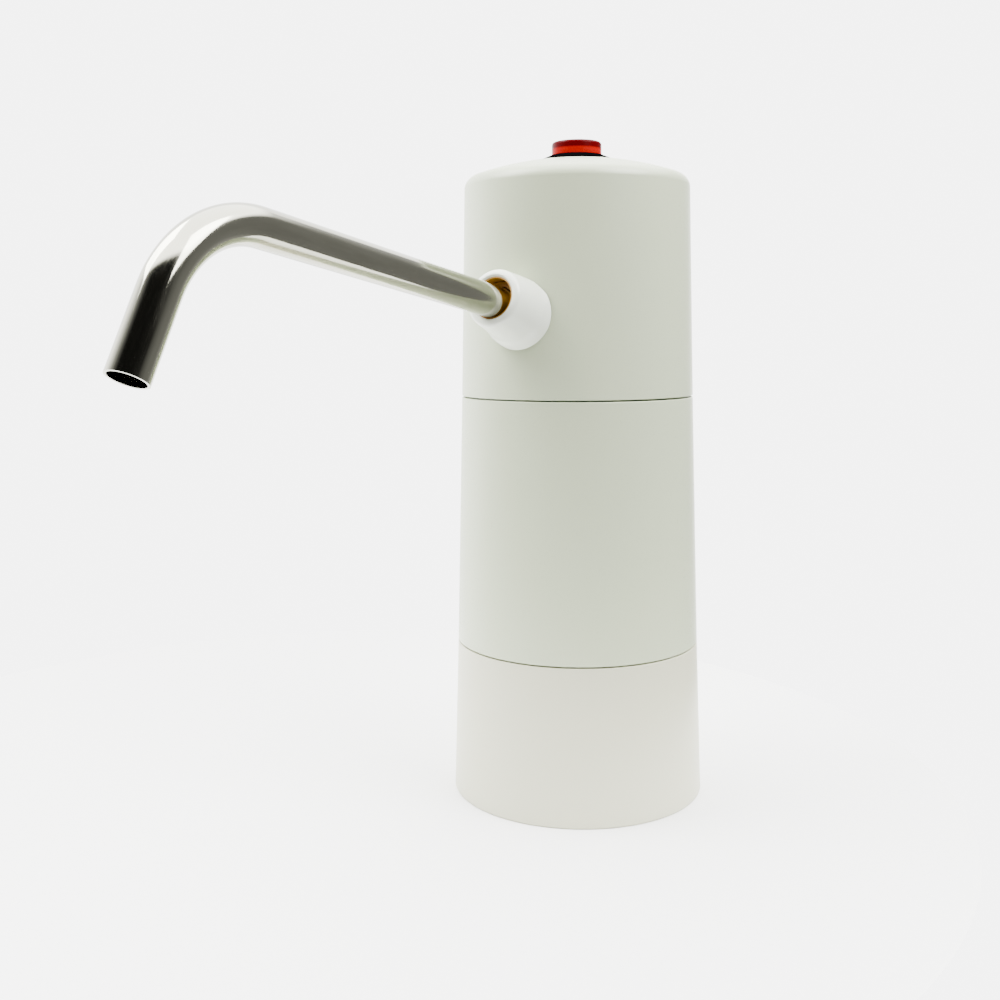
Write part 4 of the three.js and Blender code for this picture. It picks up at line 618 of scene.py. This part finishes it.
rounded(head, SEAM_ROUND, (column_radius(head_seam), head_seam))
boss_low = HEAD_BOTTOM + BOSS_RISE
boss_top, boss_middle = boss_low + BOSS_LENGTH, boss_low + BOSS_LENGTH / 2
bosses = []
for angle in BOSS_ANGLES:
    boss = combined(pin(BOSS_RADIUS, boss_low, boss_top, x=BOSS_CIRCLE, sides=48), 'UNION', [
        block(WEB_REACH, WEB_WIDTH, BOSS_LENGTH, (BOSS_CIRCLE + WEB_REACH / 2, 0, boss_middle)),
        block(WEB_FOOT_REACH, WEB_WIDTH, boss_top - head_seam,
              (BOSS_CIRCLE + WEB_FOOT_REACH / 2, 0, (boss_top + head_seam) / 2))])
    screw_hole = pin(BOSS_HOLE, boss_low - OVERLAP, boss_low + BOSS_HOLE_DEPTH, x=BOSS_CIRCLE, sides=32)
    boss = combined(boss, 'DIFFERENCE', [screw_hole])
    bosses.append(placed(boss, Matrix.Rotation(radians(angle), 4, 'Z')))
head = combined(head, 'UNION', bosses)
spout_hole = pin(COLLAR_SPIGOT + CLEARANCE, COLLAR_START, COLLAR_REACH, sides=96)
head = combined(head, 'DIFFERENCE', [placed(spout_hole, collar_frame)])
make_piece("pump_head_cover", head, white_abs, "column", "top_housing")

# Spout collar: a rounded cone that guides the spout out of the head, with its foot fitted to the wall.
# Moulded in a brighter, glossier white ABS and welded in by its spigot, so a fine joint line shows.

# Bright white ABS, polished mould: clear soft highlights along its rounded lip.
bright_abs = moulded_plastic("moulded ABS, bright white, gloss", "E6EBDD", "E1E6D8", 0.22, 0.5, 0.006,
                             coat=0.1)

nose_radius, nose_round, flare = 8.6, 1.5, radians(6.5)
hole_radius, hole_round, lip_depth = 6.4, 0.5, 3
foot_inside, nose_length = 30.0, 6
foot_fillet = [(0, 0.7), (0.7, 0.3), (2.2, 0)]
collar_bore, bore_start = 7.5, 16
wall_low, wall_high = 110, 175.0


def cone_radius(reach):
    """Radius of the collar's cone at a distance along its axis."""
    return nose_radius + (COLLAR_REACH - reach) * tan(flare)


foot_edge = column_radius(COLLAR_AXIS_HEIGHT) / cos(COLLAR_RISE)
collar = turned([
    (0, foot_inside), (cone_radius(foot_inside) + foot_fillet[0][1], foot_inside),
    *[(cone_radius(foot_edge + along) + out, foot_edge + along) for along, out in foot_fillet],
    (cone_radius(COLLAR_REACH), COLLAR_REACH), (0, COLLAR_REACH)], steps=160)
rounded(collar, nose_round, (cone_radius(COLLAR_REACH), COLLAR_REACH), segments=8)
placed(collar, collar_frame)


def column_core(offset):
    """A solid core that follows the column's wall, moved out by an offset."""
    return turned([(0, wall_low), (column_radius(wall_low) + offset, wall_low),
                   (column_radius(wall_high) + offset, wall_high), (0, wall_high)], steps=180)


collar = combined(collar, 'DIFFERENCE', [column_core(SEAT_GAP)])
spigot = pin(COLLAR_SPIGOT, COLLAR_START, COLLAR_REACH - nose_length, sides=96)
collar = combined(collar, 'UNION', [placed(spigot, collar_frame)])
bore = turned([
    (0, bore_start), (collar_bore, bore_start), (collar_bore, COLLAR_REACH - lip_depth),
    (hole_radius, COLLAR_REACH - lip_depth), (hole_radius, COLLAR_REACH - hole_round),
    (hole_radius + hole_round, COLLAR_REACH), (hole_radius + hole_round, COLLAR_REACH + OVERLAP),
    (0, COLLAR_REACH + OVERLAP)], steps=128)
collar = combined(collar, 'DIFFERENCE', [column_core(-WALL)])
collar = combined(collar, 'DIFFERENCE', [placed(bore, collar_frame)])
make_piece("spout_guide_collar", collar, bright_abs, "column", "spout_collar")

# Spout gland: a short amber silicone sleeve round the tube, just behind the collar's lip. Its thin skirt is
# painted
# shade: an amber sheet that lines the collar's hole up to the mouth and shows as a dark amber crescent beside
# the tube.

SPOUT_RISE = radians(8.64)
SPOUT_AXIS_HEIGHT = 148.45
spout_frame = (Matrix.Translation((0, 0, SPOUT_AXIS_HEIGHT))
               @ Matrix.Rotation(pi / 2 - SPOUT_RISE, 4, 'X'))

# Amber silicone: honey-coloured, a little glossy, dark in the shade of the collar. On the gland's skirt it is
# painted shade inside the collar's hole.
amber_silicone = moulded_rubber("moulded silicone, amber", "A8781A", "8C6214", 0.4, 0.4, 0.01)

TUBE_RADIUS = 4.76
gland_bore, gland_radius = TUBE_RADIUS + SEAT_GAP, 6.5
gland_length, gland_round = 6, 0.35
gland_high = (COLLAR_REACH * cos(COLLAR_RISE) / cos(SPOUT_RISE) - lip_depth - CLEARANCE
              - gland_radius * sin(COLLAR_RISE - SPOUT_RISE))
gland_low = gland_high - gland_length
gland = turned([(gland_bore, gland_low), (gland_radius, gland_low), (gland_radius, gland_high),
                (gland_bore, gland_high)], steps=96)
rounded(gland, gland_round, (gland_radius, gland_high), (gland_bore, gland_high))
# The skirt is painted shade: a thin amber sheet that darkens the collar's hole round the tube up to the
# mouth.
skirt_depth, skirt_set_back, skirt_gap = 4.4, 0.05, 0.03
skirt_low, skirt_high = COLLAR_REACH - skirt_depth, COLLAR_REACH - hole_round - skirt_set_back
skirt_bore, skirt_radius = 6.0, hole_radius - skirt_gap
painted_shade_lining = turned([(skirt_bore, skirt_low), (skirt_radius, skirt_low), (skirt_radius, skirt_high),
                      (skirt_bore, skirt_high)], steps=96)
gland = combined(placed(gland, spout_frame), 'UNION', [placed(painted_shade_lining, collar_frame)])
make_piece("tube_gland", gland, amber_silicone, "column", "spout_gland")

# Spout tube: 9.5 mm stainless tube with a 0.6 mm wall, bent in one bend and cut square at the mouth.
# Satin-finished along its length. It swivels in the holder's barrel on its straight end.

TUBE_WALL, TUBE_SIDES = 0.6, 96
MILLIMETRES_PER_V = 50
line_counts, cloud_counts = (210, 6, 1), (14, 3, 1)
tube_start, straight_end = 20.6, 144.2
bend_radius, bend_angle, tail = 27.6, radians(72.2), 19.2

# Satin stainless: fine lengthwise polishing lines about 0.15 mm apart, and soft clouds in the colour.
# Both follow the tube's own UV map, with U once round the tube and V counting each 50 mm along it.
satin_steel, output = new_material("satin stainless steel")
along_tube = add_node(satin_steel, "ShaderNodeUVMap", {}, uv_map="along tube").outputs["UV"]
line_scale = add_node(satin_steel, "ShaderNodeMapping", {"Vector": along_tube, "Scale": line_counts})
lines = add_node(satin_steel, "ShaderNodeTexNoise", {
    "Vector": line_scale.outputs["Vector"], "Scale": 1.0, "Detail": 3.0, "Roughness": 0.6})
cloud_scale = add_node(satin_steel, "ShaderNodeMapping", {"Vector": along_tube, "Scale": cloud_counts})
clouds = add_node(satin_steel, "ShaderNodeTexNoise", {
    "Vector": cloud_scale.outputs["Vector"], "Scale": 1.0, "Detail": 4.0, "Roughness": 0.6})
steel_colour = add_node(satin_steel, "ShaderNodeMix", {
    "Factor": clouds.outputs["Fac"], "A": linear("B2B1A3"), "B": linear("9C9B8B")}, data_type='RGBA')
steel_rough = add_node(satin_steel, "ShaderNodeMapRange", {
    "Value": lines.outputs["Fac"], "From Min": 0.3, "From Max": 0.7, "To Min": 0.07, "To Max": 0.13})
steel_bump = add_node(satin_steel, "ShaderNodeBump", {
    "Height": lines.outputs["Fac"], "Strength": 0.5, "Distance": 0.006 * MM})
steel = add_node(satin_steel, "ShaderNodeBsdfPrincipled", {
    "Base Color": steel_colour.outputs["Result"], "Roughness": steel_rough.outputs["Result"],
    "Normal": steel_bump.outputs["Normal"], "Metallic": 1.0})
satin_steel.node_tree.links.new(steel.outputs["BSDF"], output.inputs["Surface"])

tube = bmesh.new()
uv = tube.loops.layers.uv.new("along tube")
bmesh.ops.create_circle(tube, segments=TUBE_SIDES, radius=TUBE_RADIUS)
bmesh.ops.translate(tube, vec=(0, 0, tube_start), verts=tube.verts)
ends = tube.edges[:]


def extrude_along(form, edges, distance, direction, steps):
    """Extends a ring of edges in equal steps and gives back the new ring."""
    for _ in range(steps):
        made = bmesh.ops.extrude_edge_only(form, edges=edges)["geom"]
        corners = [part for part in made if isinstance(part, bmesh.types.BMVert)]
        bmesh.ops.translate(form, vec=direction * (distance / steps), verts=corners)
        edges = [part for part in made if isinstance(part, bmesh.types.BMEdge)
                 and all(v in corners for v in part.verts)]
    return edges


ends = extrude_along(tube, ends, straight_end - tube_start, Vector((0, 0, 1)), 40)
bend = bmesh.ops.spin(tube, geom=ends, cent=(0, -bend_radius, straight_end), axis=(1, 0, 0), steps=40,
                      angle=bend_angle)
ends = [part for part in bend["geom_last"] if isinstance(part, bmesh.types.BMEdge)]
tail_way = Vector((0, -sin(bend_angle), cos(bend_angle)))
extrude_along(tube, ends, tail, tail_way, 8)
bmesh.ops.recalc_face_normals(tube, faces=tube.faces)
bend_centre = Vector((0, -bend_radius, straight_end))


def share_of_turn(across, up):
    """Angle from the up direction as a share of a full turn."""
    return (Vector((0, 1)).angle_signed(Vector((across, up)), 0) / (2 * pi)) % 1


def tube_place(point):
    """Way round the tube, from 0 to 1, and length along it in millimetres."""
    if point.z <= straight_end + 0.001 and point.y > -2 * TUBE_RADIUS:
        return share_of_turn(point.x, point.y), point.z - tube_start
    turn = share_of_turn(point.z - straight_end, point.y + bend_radius) * 2 * pi
    turn = min(turn, bend_angle)
    local = Matrix.Rotation(-turn, 3, 'X') @ (point - bend_centre)
    past = local.z if turn == bend_angle else 0
    length = straight_end - tube_start + bend_radius * turn + past
    return share_of_turn(local.x, local.y - bend_radius), length


for face in tube.faces:
    places = [tube_place(loop.vert.co) for loop in face.loops]
    seam = max(p[0] for p in places) - min(p[0] for p in places) > 0.5
    for loop, (turn, length) in zip(face.loops, places):
        loop[uv].uv = (turn + 1 if seam and turn < 0.5 else turn, length / MILLIMETRES_PER_V)
bmesh.ops.solidify(tube, geom=tube.faces[:], thickness=TUBE_WALL)
make_piece("bent_spout_tube", placed(tube, spout_frame), satin_steel, "spout", "spout_tube")

# Push button: a panel switch whose black barrel stands in the crown, held from below by a washer and a nut.
# Satin black ABS bezel with a conical rim, and a cap of deep red polycarbonate with painted light: bright in
# its lower band as a painted glow, and darker in its upper half as painted shade.

# Satin black ABS: even and deep, with a fine mould texture.
satin_black = moulded_plastic("moulded ABS, satin black", "050506", "030304", 0.5, 0.6, 0.006,
                              specular=0.0)

BEZEL_LOW, BEZEL_TOP = CROWN + SEAT_GAP, 202.97
BEZEL_RADIUS, BEZEL_EDGE, BEZEL_LAND = 11.7, 0.35, 8.5
BARREL_BORE, BARREL_LENGTH = 6.2, 19.5
CAP_LOW, CAP_RADIUS, CAP_HEIGHT = 202.77, 7.87, 4.45
CAP_WALL, CAP_CEILING = 1.3, 2
STEM_RADIUS, STEM_END, STROKE = 2.8, 0.1, 1.6
BARREL_LIP = 5.2
bezel_round, well_round, cap_round, cap_foot_round = 0.12, 0.1, 0.9, 0.2
barrel_low = BEZEL_LOW - BARREL_LENGTH
recess_floor = CAP_LOW - STROKE - CLEARANCE
lip_low = recess_floor - BARREL_LIP
cap_well, stem_hole = CAP_RADIUS + CLEARANCE, STEM_RADIUS + CLEARANCE
bezel = turned([
    (BARREL_BORE, barrel_low), (BARREL_RADIUS, barrel_low), (BARREL_RADIUS, BEZEL_LOW),
    (BEZEL_RADIUS, BEZEL_LOW), (BEZEL_RADIUS, BEZEL_LOW + BEZEL_EDGE), (BEZEL_LAND, BEZEL_TOP),
    (cap_well, BEZEL_TOP), (cap_well, recess_floor), (stem_hole, recess_floor), (stem_hole, lip_low),
    (BARREL_BORE, lip_low)], steps=128)
rounded(bezel, bezel_round, (BEZEL_RADIUS, BEZEL_LOW), (BEZEL_RADIUS, BEZEL_LOW + BEZEL_EDGE),
        (BEZEL_LAND, BEZEL_TOP))
rounded(bezel, well_round, (cap_well, BEZEL_TOP))
make_piece("button_housing", bezel, satin_black, "column", "button_bezel")

# Red polycarbonate, tinted and clear, with painted light in its colour: the lower band is painted bright as
# light glowing through it, and the upper band is painted deep red as shade.
# The moulded skin has a faint ripple and a soft, weak highlight.
PAINTED_GLOW_END, PAINTED_SHADE_START = 1.9, 2.5
red_polycarbonate, output = new_material("polycarbonate, clear red")
place = add_node(red_polycarbonate, "ShaderNodeTexCoord", {}).outputs["Object"]
height = add_node(red_polycarbonate, "ShaderNodeSeparateXYZ", {"Vector": place}).outputs["Z"]
# Painted light: a height mask that turns the painted glow of the lower band into the painted shade of the
# upper band.
painted_light_mask = add_node(red_polycarbonate, "ShaderNodeMapRange", {
    "Value": height, "From Min": (CAP_LOW + PAINTED_GLOW_END) * MM,
    "From Max": (CAP_LOW + PAINTED_SHADE_START) * MM})
# 980500 is the painted glow and 4C0206 the painted shade.
red = add_node(red_polycarbonate, "ShaderNodeMix", {
    "Factor": painted_light_mask.outputs["Result"], "A": linear("980500"), "B": linear("4C0206")}, data_type='RGBA')
ripple = add_node(red_polycarbonate, "ShaderNodeTexNoise", {
    "Vector": place, "Scale": grain(3), "Detail": 1.0})
peel = add_node(red_polycarbonate, "ShaderNodeBump", {
    "Height": ripple.outputs["Fac"], "Strength": 0.15, "Distance": 0.01 * MM})
cap_surface = add_node(red_polycarbonate, "ShaderNodeBsdfPrincipled", {
    "Base Color": red.outputs["Result"], "Roughness": 0.3, "IOR": 1.585, "Normal": peel.outputs["Normal"],
    "Specular IOR Level": 0.03})
red_polycarbonate.node_tree.links.new(cap_surface.outputs["BSDF"], output.inputs["Surface"])

stem_low, cap_inside, cap_top = lip_low - STEM_END, CAP_RADIUS - CAP_WALL, CAP_LOW + CAP_HEIGHT
cap = turned([
    (0, stem_low), (STEM_RADIUS, stem_low), (STEM_RADIUS, CAP_LOW + CAP_CEILING),
    (cap_inside, CAP_LOW + CAP_CEILING), (cap_inside, CAP_LOW), (CAP_RADIUS, CAP_LOW),
    (CAP_RADIUS, cap_top), (0, cap_top)], steps=128)
rounded(cap, cap_round, (CAP_RADIUS, cap_top), segments=8)
rounded(cap, cap_foot_round, (CAP_RADIUS, CAP_LOW))
make_piece("button_lens", cap, red_polycarbonate, "button", "button_cap")

# Switch works under the cap: plunger, contact ring, base, blades, washer and nut.
# The spring is a round wire coil that stands on the base; the real one shortens as the button goes down, and
# this one keeps its rest length.

finish_nodes(black_nylon, "switch_plunger", "switch_base", "switch_nut")
finish_nodes(copper_wire, "contact_bridge")
finish_nodes(nickel_plate, "switch_terminal_1", "switch_terminal_2")
WIRE_RADIUS, WIRE_SIDES = 0.25, 12
COIL_RADIUS, COILS, STEPS_PER_COIL = 3.9, 4, 48
spring_foot, spring_head = (end[2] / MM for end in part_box("switch_spring"))
coil_steps = COILS * STEPS_PER_COIL
coil_start = (COIL_RADIUS, 0, spring_foot + WIRE_RADIUS)
coil = bmesh.new()
bmesh.ops.create_circle(coil, segments=WIRE_SIDES, radius=WIRE_RADIUS)
placed(coil, Matrix.Translation(coil_start) @ Matrix.Rotation(pi / 2, 4, 'X'))
coil_rise = (spring_head - spring_foot - 2 * WIRE_RADIUS) / coil_steps
bmesh.ops.spin(coil, geom=coil.edges[:], axis=(0, 0, 1), dvec=(0, 0, coil_rise), angle=COILS * 2 * pi,
               steps=coil_steps)
bmesh.ops.holes_fill(coil, edges=[edge for edge in coil.edges if edge.is_boundary])
bmesh.ops.recalc_face_normals(coil, faces=coil.faces)
spring = make_piece("return_spring", coil, nickel_plate, None, "switch_spring")
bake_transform(spring)

# Studio: a round table top in pale paper under soft light from both sides and above. Its level is the
# backdrop's, so its rim hardly shows.

# Pale backdrop paper: dead matt, barely mottled by its fibres.
paper, output = new_material("pale backdrop paper")
fibre = add_node(paper, "ShaderNodeTexNoise", {
    "Vector": add_node(paper, "ShaderNodeTexCoord", {}).outputs["Object"], "Scale": grain(2), "Detail": 3.0})
shade = add_node(paper, "ShaderNodeMix", {
    "Factor": fibre.outputs["Fac"], "A": linear("FBFBFA"), "B": linear("F6F6F5")}, data_type='RGBA')
sheet = add_node(paper, "ShaderNodeBsdfPrincipled", {
    "Base Color": shade.outputs["Result"], "Roughness": 0.9, "Specular IOR Level": 0.1})
paper.node_tree.links.new(sheet.outputs["BSDF"], output.inputs["Surface"])

TABLE_RADIUS, TABLE_CENTRE = 0.2, (-0.07, -0.04, 0)
floor_form = bmesh.new()
bmesh.ops.create_circle(floor_form, cap_ends=True, segments=256, radius=TABLE_RADIUS)
bmesh.ops.translate(floor_form, vec=TABLE_CENTRE, verts=floor_form.verts)
floor_mesh = bpy.data.meshes.new("floor")
floor_form.to_mesh(floor_mesh)
floor_form.free()
floor_mesh.materials.append(paper)
floor = bpy.data.objects.new("floor", floor_mesh)
bpy.context.scene.collection.objects.link(floor)

# The room: a wide diffuser overhead that reaches back and to the right, pale walls behind and on the left,
# and darkness around the camera and on the right, which gives the steel its dark core. What stands free
# against the room is seen before the same plain pale backdrop from every side.

CAMERA_SIDE, RIGHT_SIDE = Vector((0.54, -0.84, 0)), Vector((0.84, 0.54, 0))
DIFFUSER_SIDE, DIFFUSER_UP = Vector((-0.2, 0.608, 0.769)), Vector((0.172, -0.022, 0.985))
FAR_EDGE, UPPER_EDGE = (0.34, 0.42), (0.56, 0.68)
# The walls: a bearing in degrees from the camera's side, positive to its right, and the brightness there.
WALLS = [(-180, 4.8), (-150, 4.8), (-118, 5.5), (-95, 2.2), (-82, 0.8), (-63, 0.2), (-45, 0.012), (55, 0.012),
         (66, 0.03), (80, 0.2), (96, 0.32), (120, 0.38), (146, 1.0), (153, 4.9), (180, 4.8)]
DIFFUSER, BACKDROP = 9.5, 5.95
world = bpy.data.worlds.new("studio")
world.use_nodes = True
world.node_tree.nodes.clear()
direction = add_node(world, "ShaderNodeTexCoord", {}).outputs["Generated"]
to_right, to_camera, to_diffuser, to_above = [
    add_node(world, "ShaderNodeVectorMath", {0: direction, 1: side}, operation='DOT_PRODUCT').outputs["Value"]
    for side in (RIGHT_SIDE, CAMERA_SIDE, DIFFUSER_SIDE, DIFFUSER_UP)]
bearing = add_node(world, "ShaderNodeMath", {0: to_right, 1: to_camera}, operation='ARCTAN2')
turn = add_node(world, "ShaderNodeMapRange", {
    "Value": bearing.outputs["Value"], "From Min": -pi, "From Max": pi})
walls = add_node(world, "ShaderNodeValToRGB", {"Fac": turn.outputs["Result"]})
stops = walls.color_ramp.elements
stops.remove(stops[1])
for angle, level in WALLS:
    stop = stops.new(angle / 360 + 0.5) if angle > -180 else stops[0]
    stop.color = (level, level, level, 1)
far_side = add_node(world, "ShaderNodeMapRange", {
    "Value": to_diffuser, "From Min": FAR_EDGE[0], "From Max": FAR_EDGE[1]})
high_up = add_node(world, "ShaderNodeMapRange", {
    "Value": to_above, "From Min": UPPER_EDGE[0], "From Max": UPPER_EDGE[1]})
diffuser = add_node(world, "ShaderNodeMath", {
    0: far_side.outputs["Result"], 1: high_up.outputs["Result"]}, operation='MULTIPLY')
room = add_node(world, "ShaderNodeMix", {
    "Factor": diffuser.outputs["Value"], "A": walls.outputs["Color"],
    "B": (DIFFUSER, DIFFUSER, DIFFUSER, 1)}, data_type='RGBA')
backdrop = add_node(world, "ShaderNodeMix", {
    "Factor": add_node(world, "ShaderNodeLightPath", {}).outputs["Is Camera Ray"],
    "A": room.outputs["Result"], "B": (BACKDROP, BACKDROP, BACKDROP, 1)}, data_type='RGBA')
glow = add_node(world, "ShaderNodeBackground", {"Color": backdrop.outputs["Result"]})
add_node(world, "ShaderNodeOutputWorld", {"Surface": glow.outputs["Background"]})
bpy.context.scene.world = world

BOX_SIZE, BOX_TARGET = 0.24, Vector((0, 0, 0.15))


def soft_light(name, place, power):
    """A square soft box that faces the upper half of the column."""
    lamp = bpy.data.lights.new(name, 'AREA')
    lamp.size = BOX_SIZE
    lamp.energy = power
    box = bpy.data.objects.new(name, lamp)
    box.location = place
    box.rotation_euler = (BOX_TARGET - Vector(place)).to_track_quat('-Z', 'Y').to_euler()
    bpy.context.scene.collection.objects.link(box)


soft_light("right box", (0.301, -0.04, 0.42), 3.2)
soft_light("left box", (-0.225, -0.204, 0.45), 3.6)

# Camera: the photograph's viewpoint, 386 mm from the column's axis and 146 mm above the table.
# It looks four degrees down, and its shift puts the pump at the photograph's height in the frame.

VIEWPOINT = (0.18816, -0.33681, 0.1461)
CAMERA_TURN, CAMERA_DIP, CAMERA_ROLL = 32.873, 4.016, -0.298
lens = bpy.data.cameras.new("camera")
lens.lens = 43.07
lens.sensor_width = 36
lens.shift_y = -0.08
camera = bpy.data.objects.new("camera", lens)
camera.matrix_world = (Matrix.Translation(VIEWPOINT)
                       @ Matrix.Rotation(radians(CAMERA_TURN), 4, 'Z')
                       @ Matrix.Rotation(radians(90 - CAMERA_DIP), 4, 'X')
                       @ Matrix.Rotation(radians(CAMERA_ROLL), 4, 'Z'))
bpy.context.scene.collection.objects.link(camera)
bpy.context.scene.camera = camera
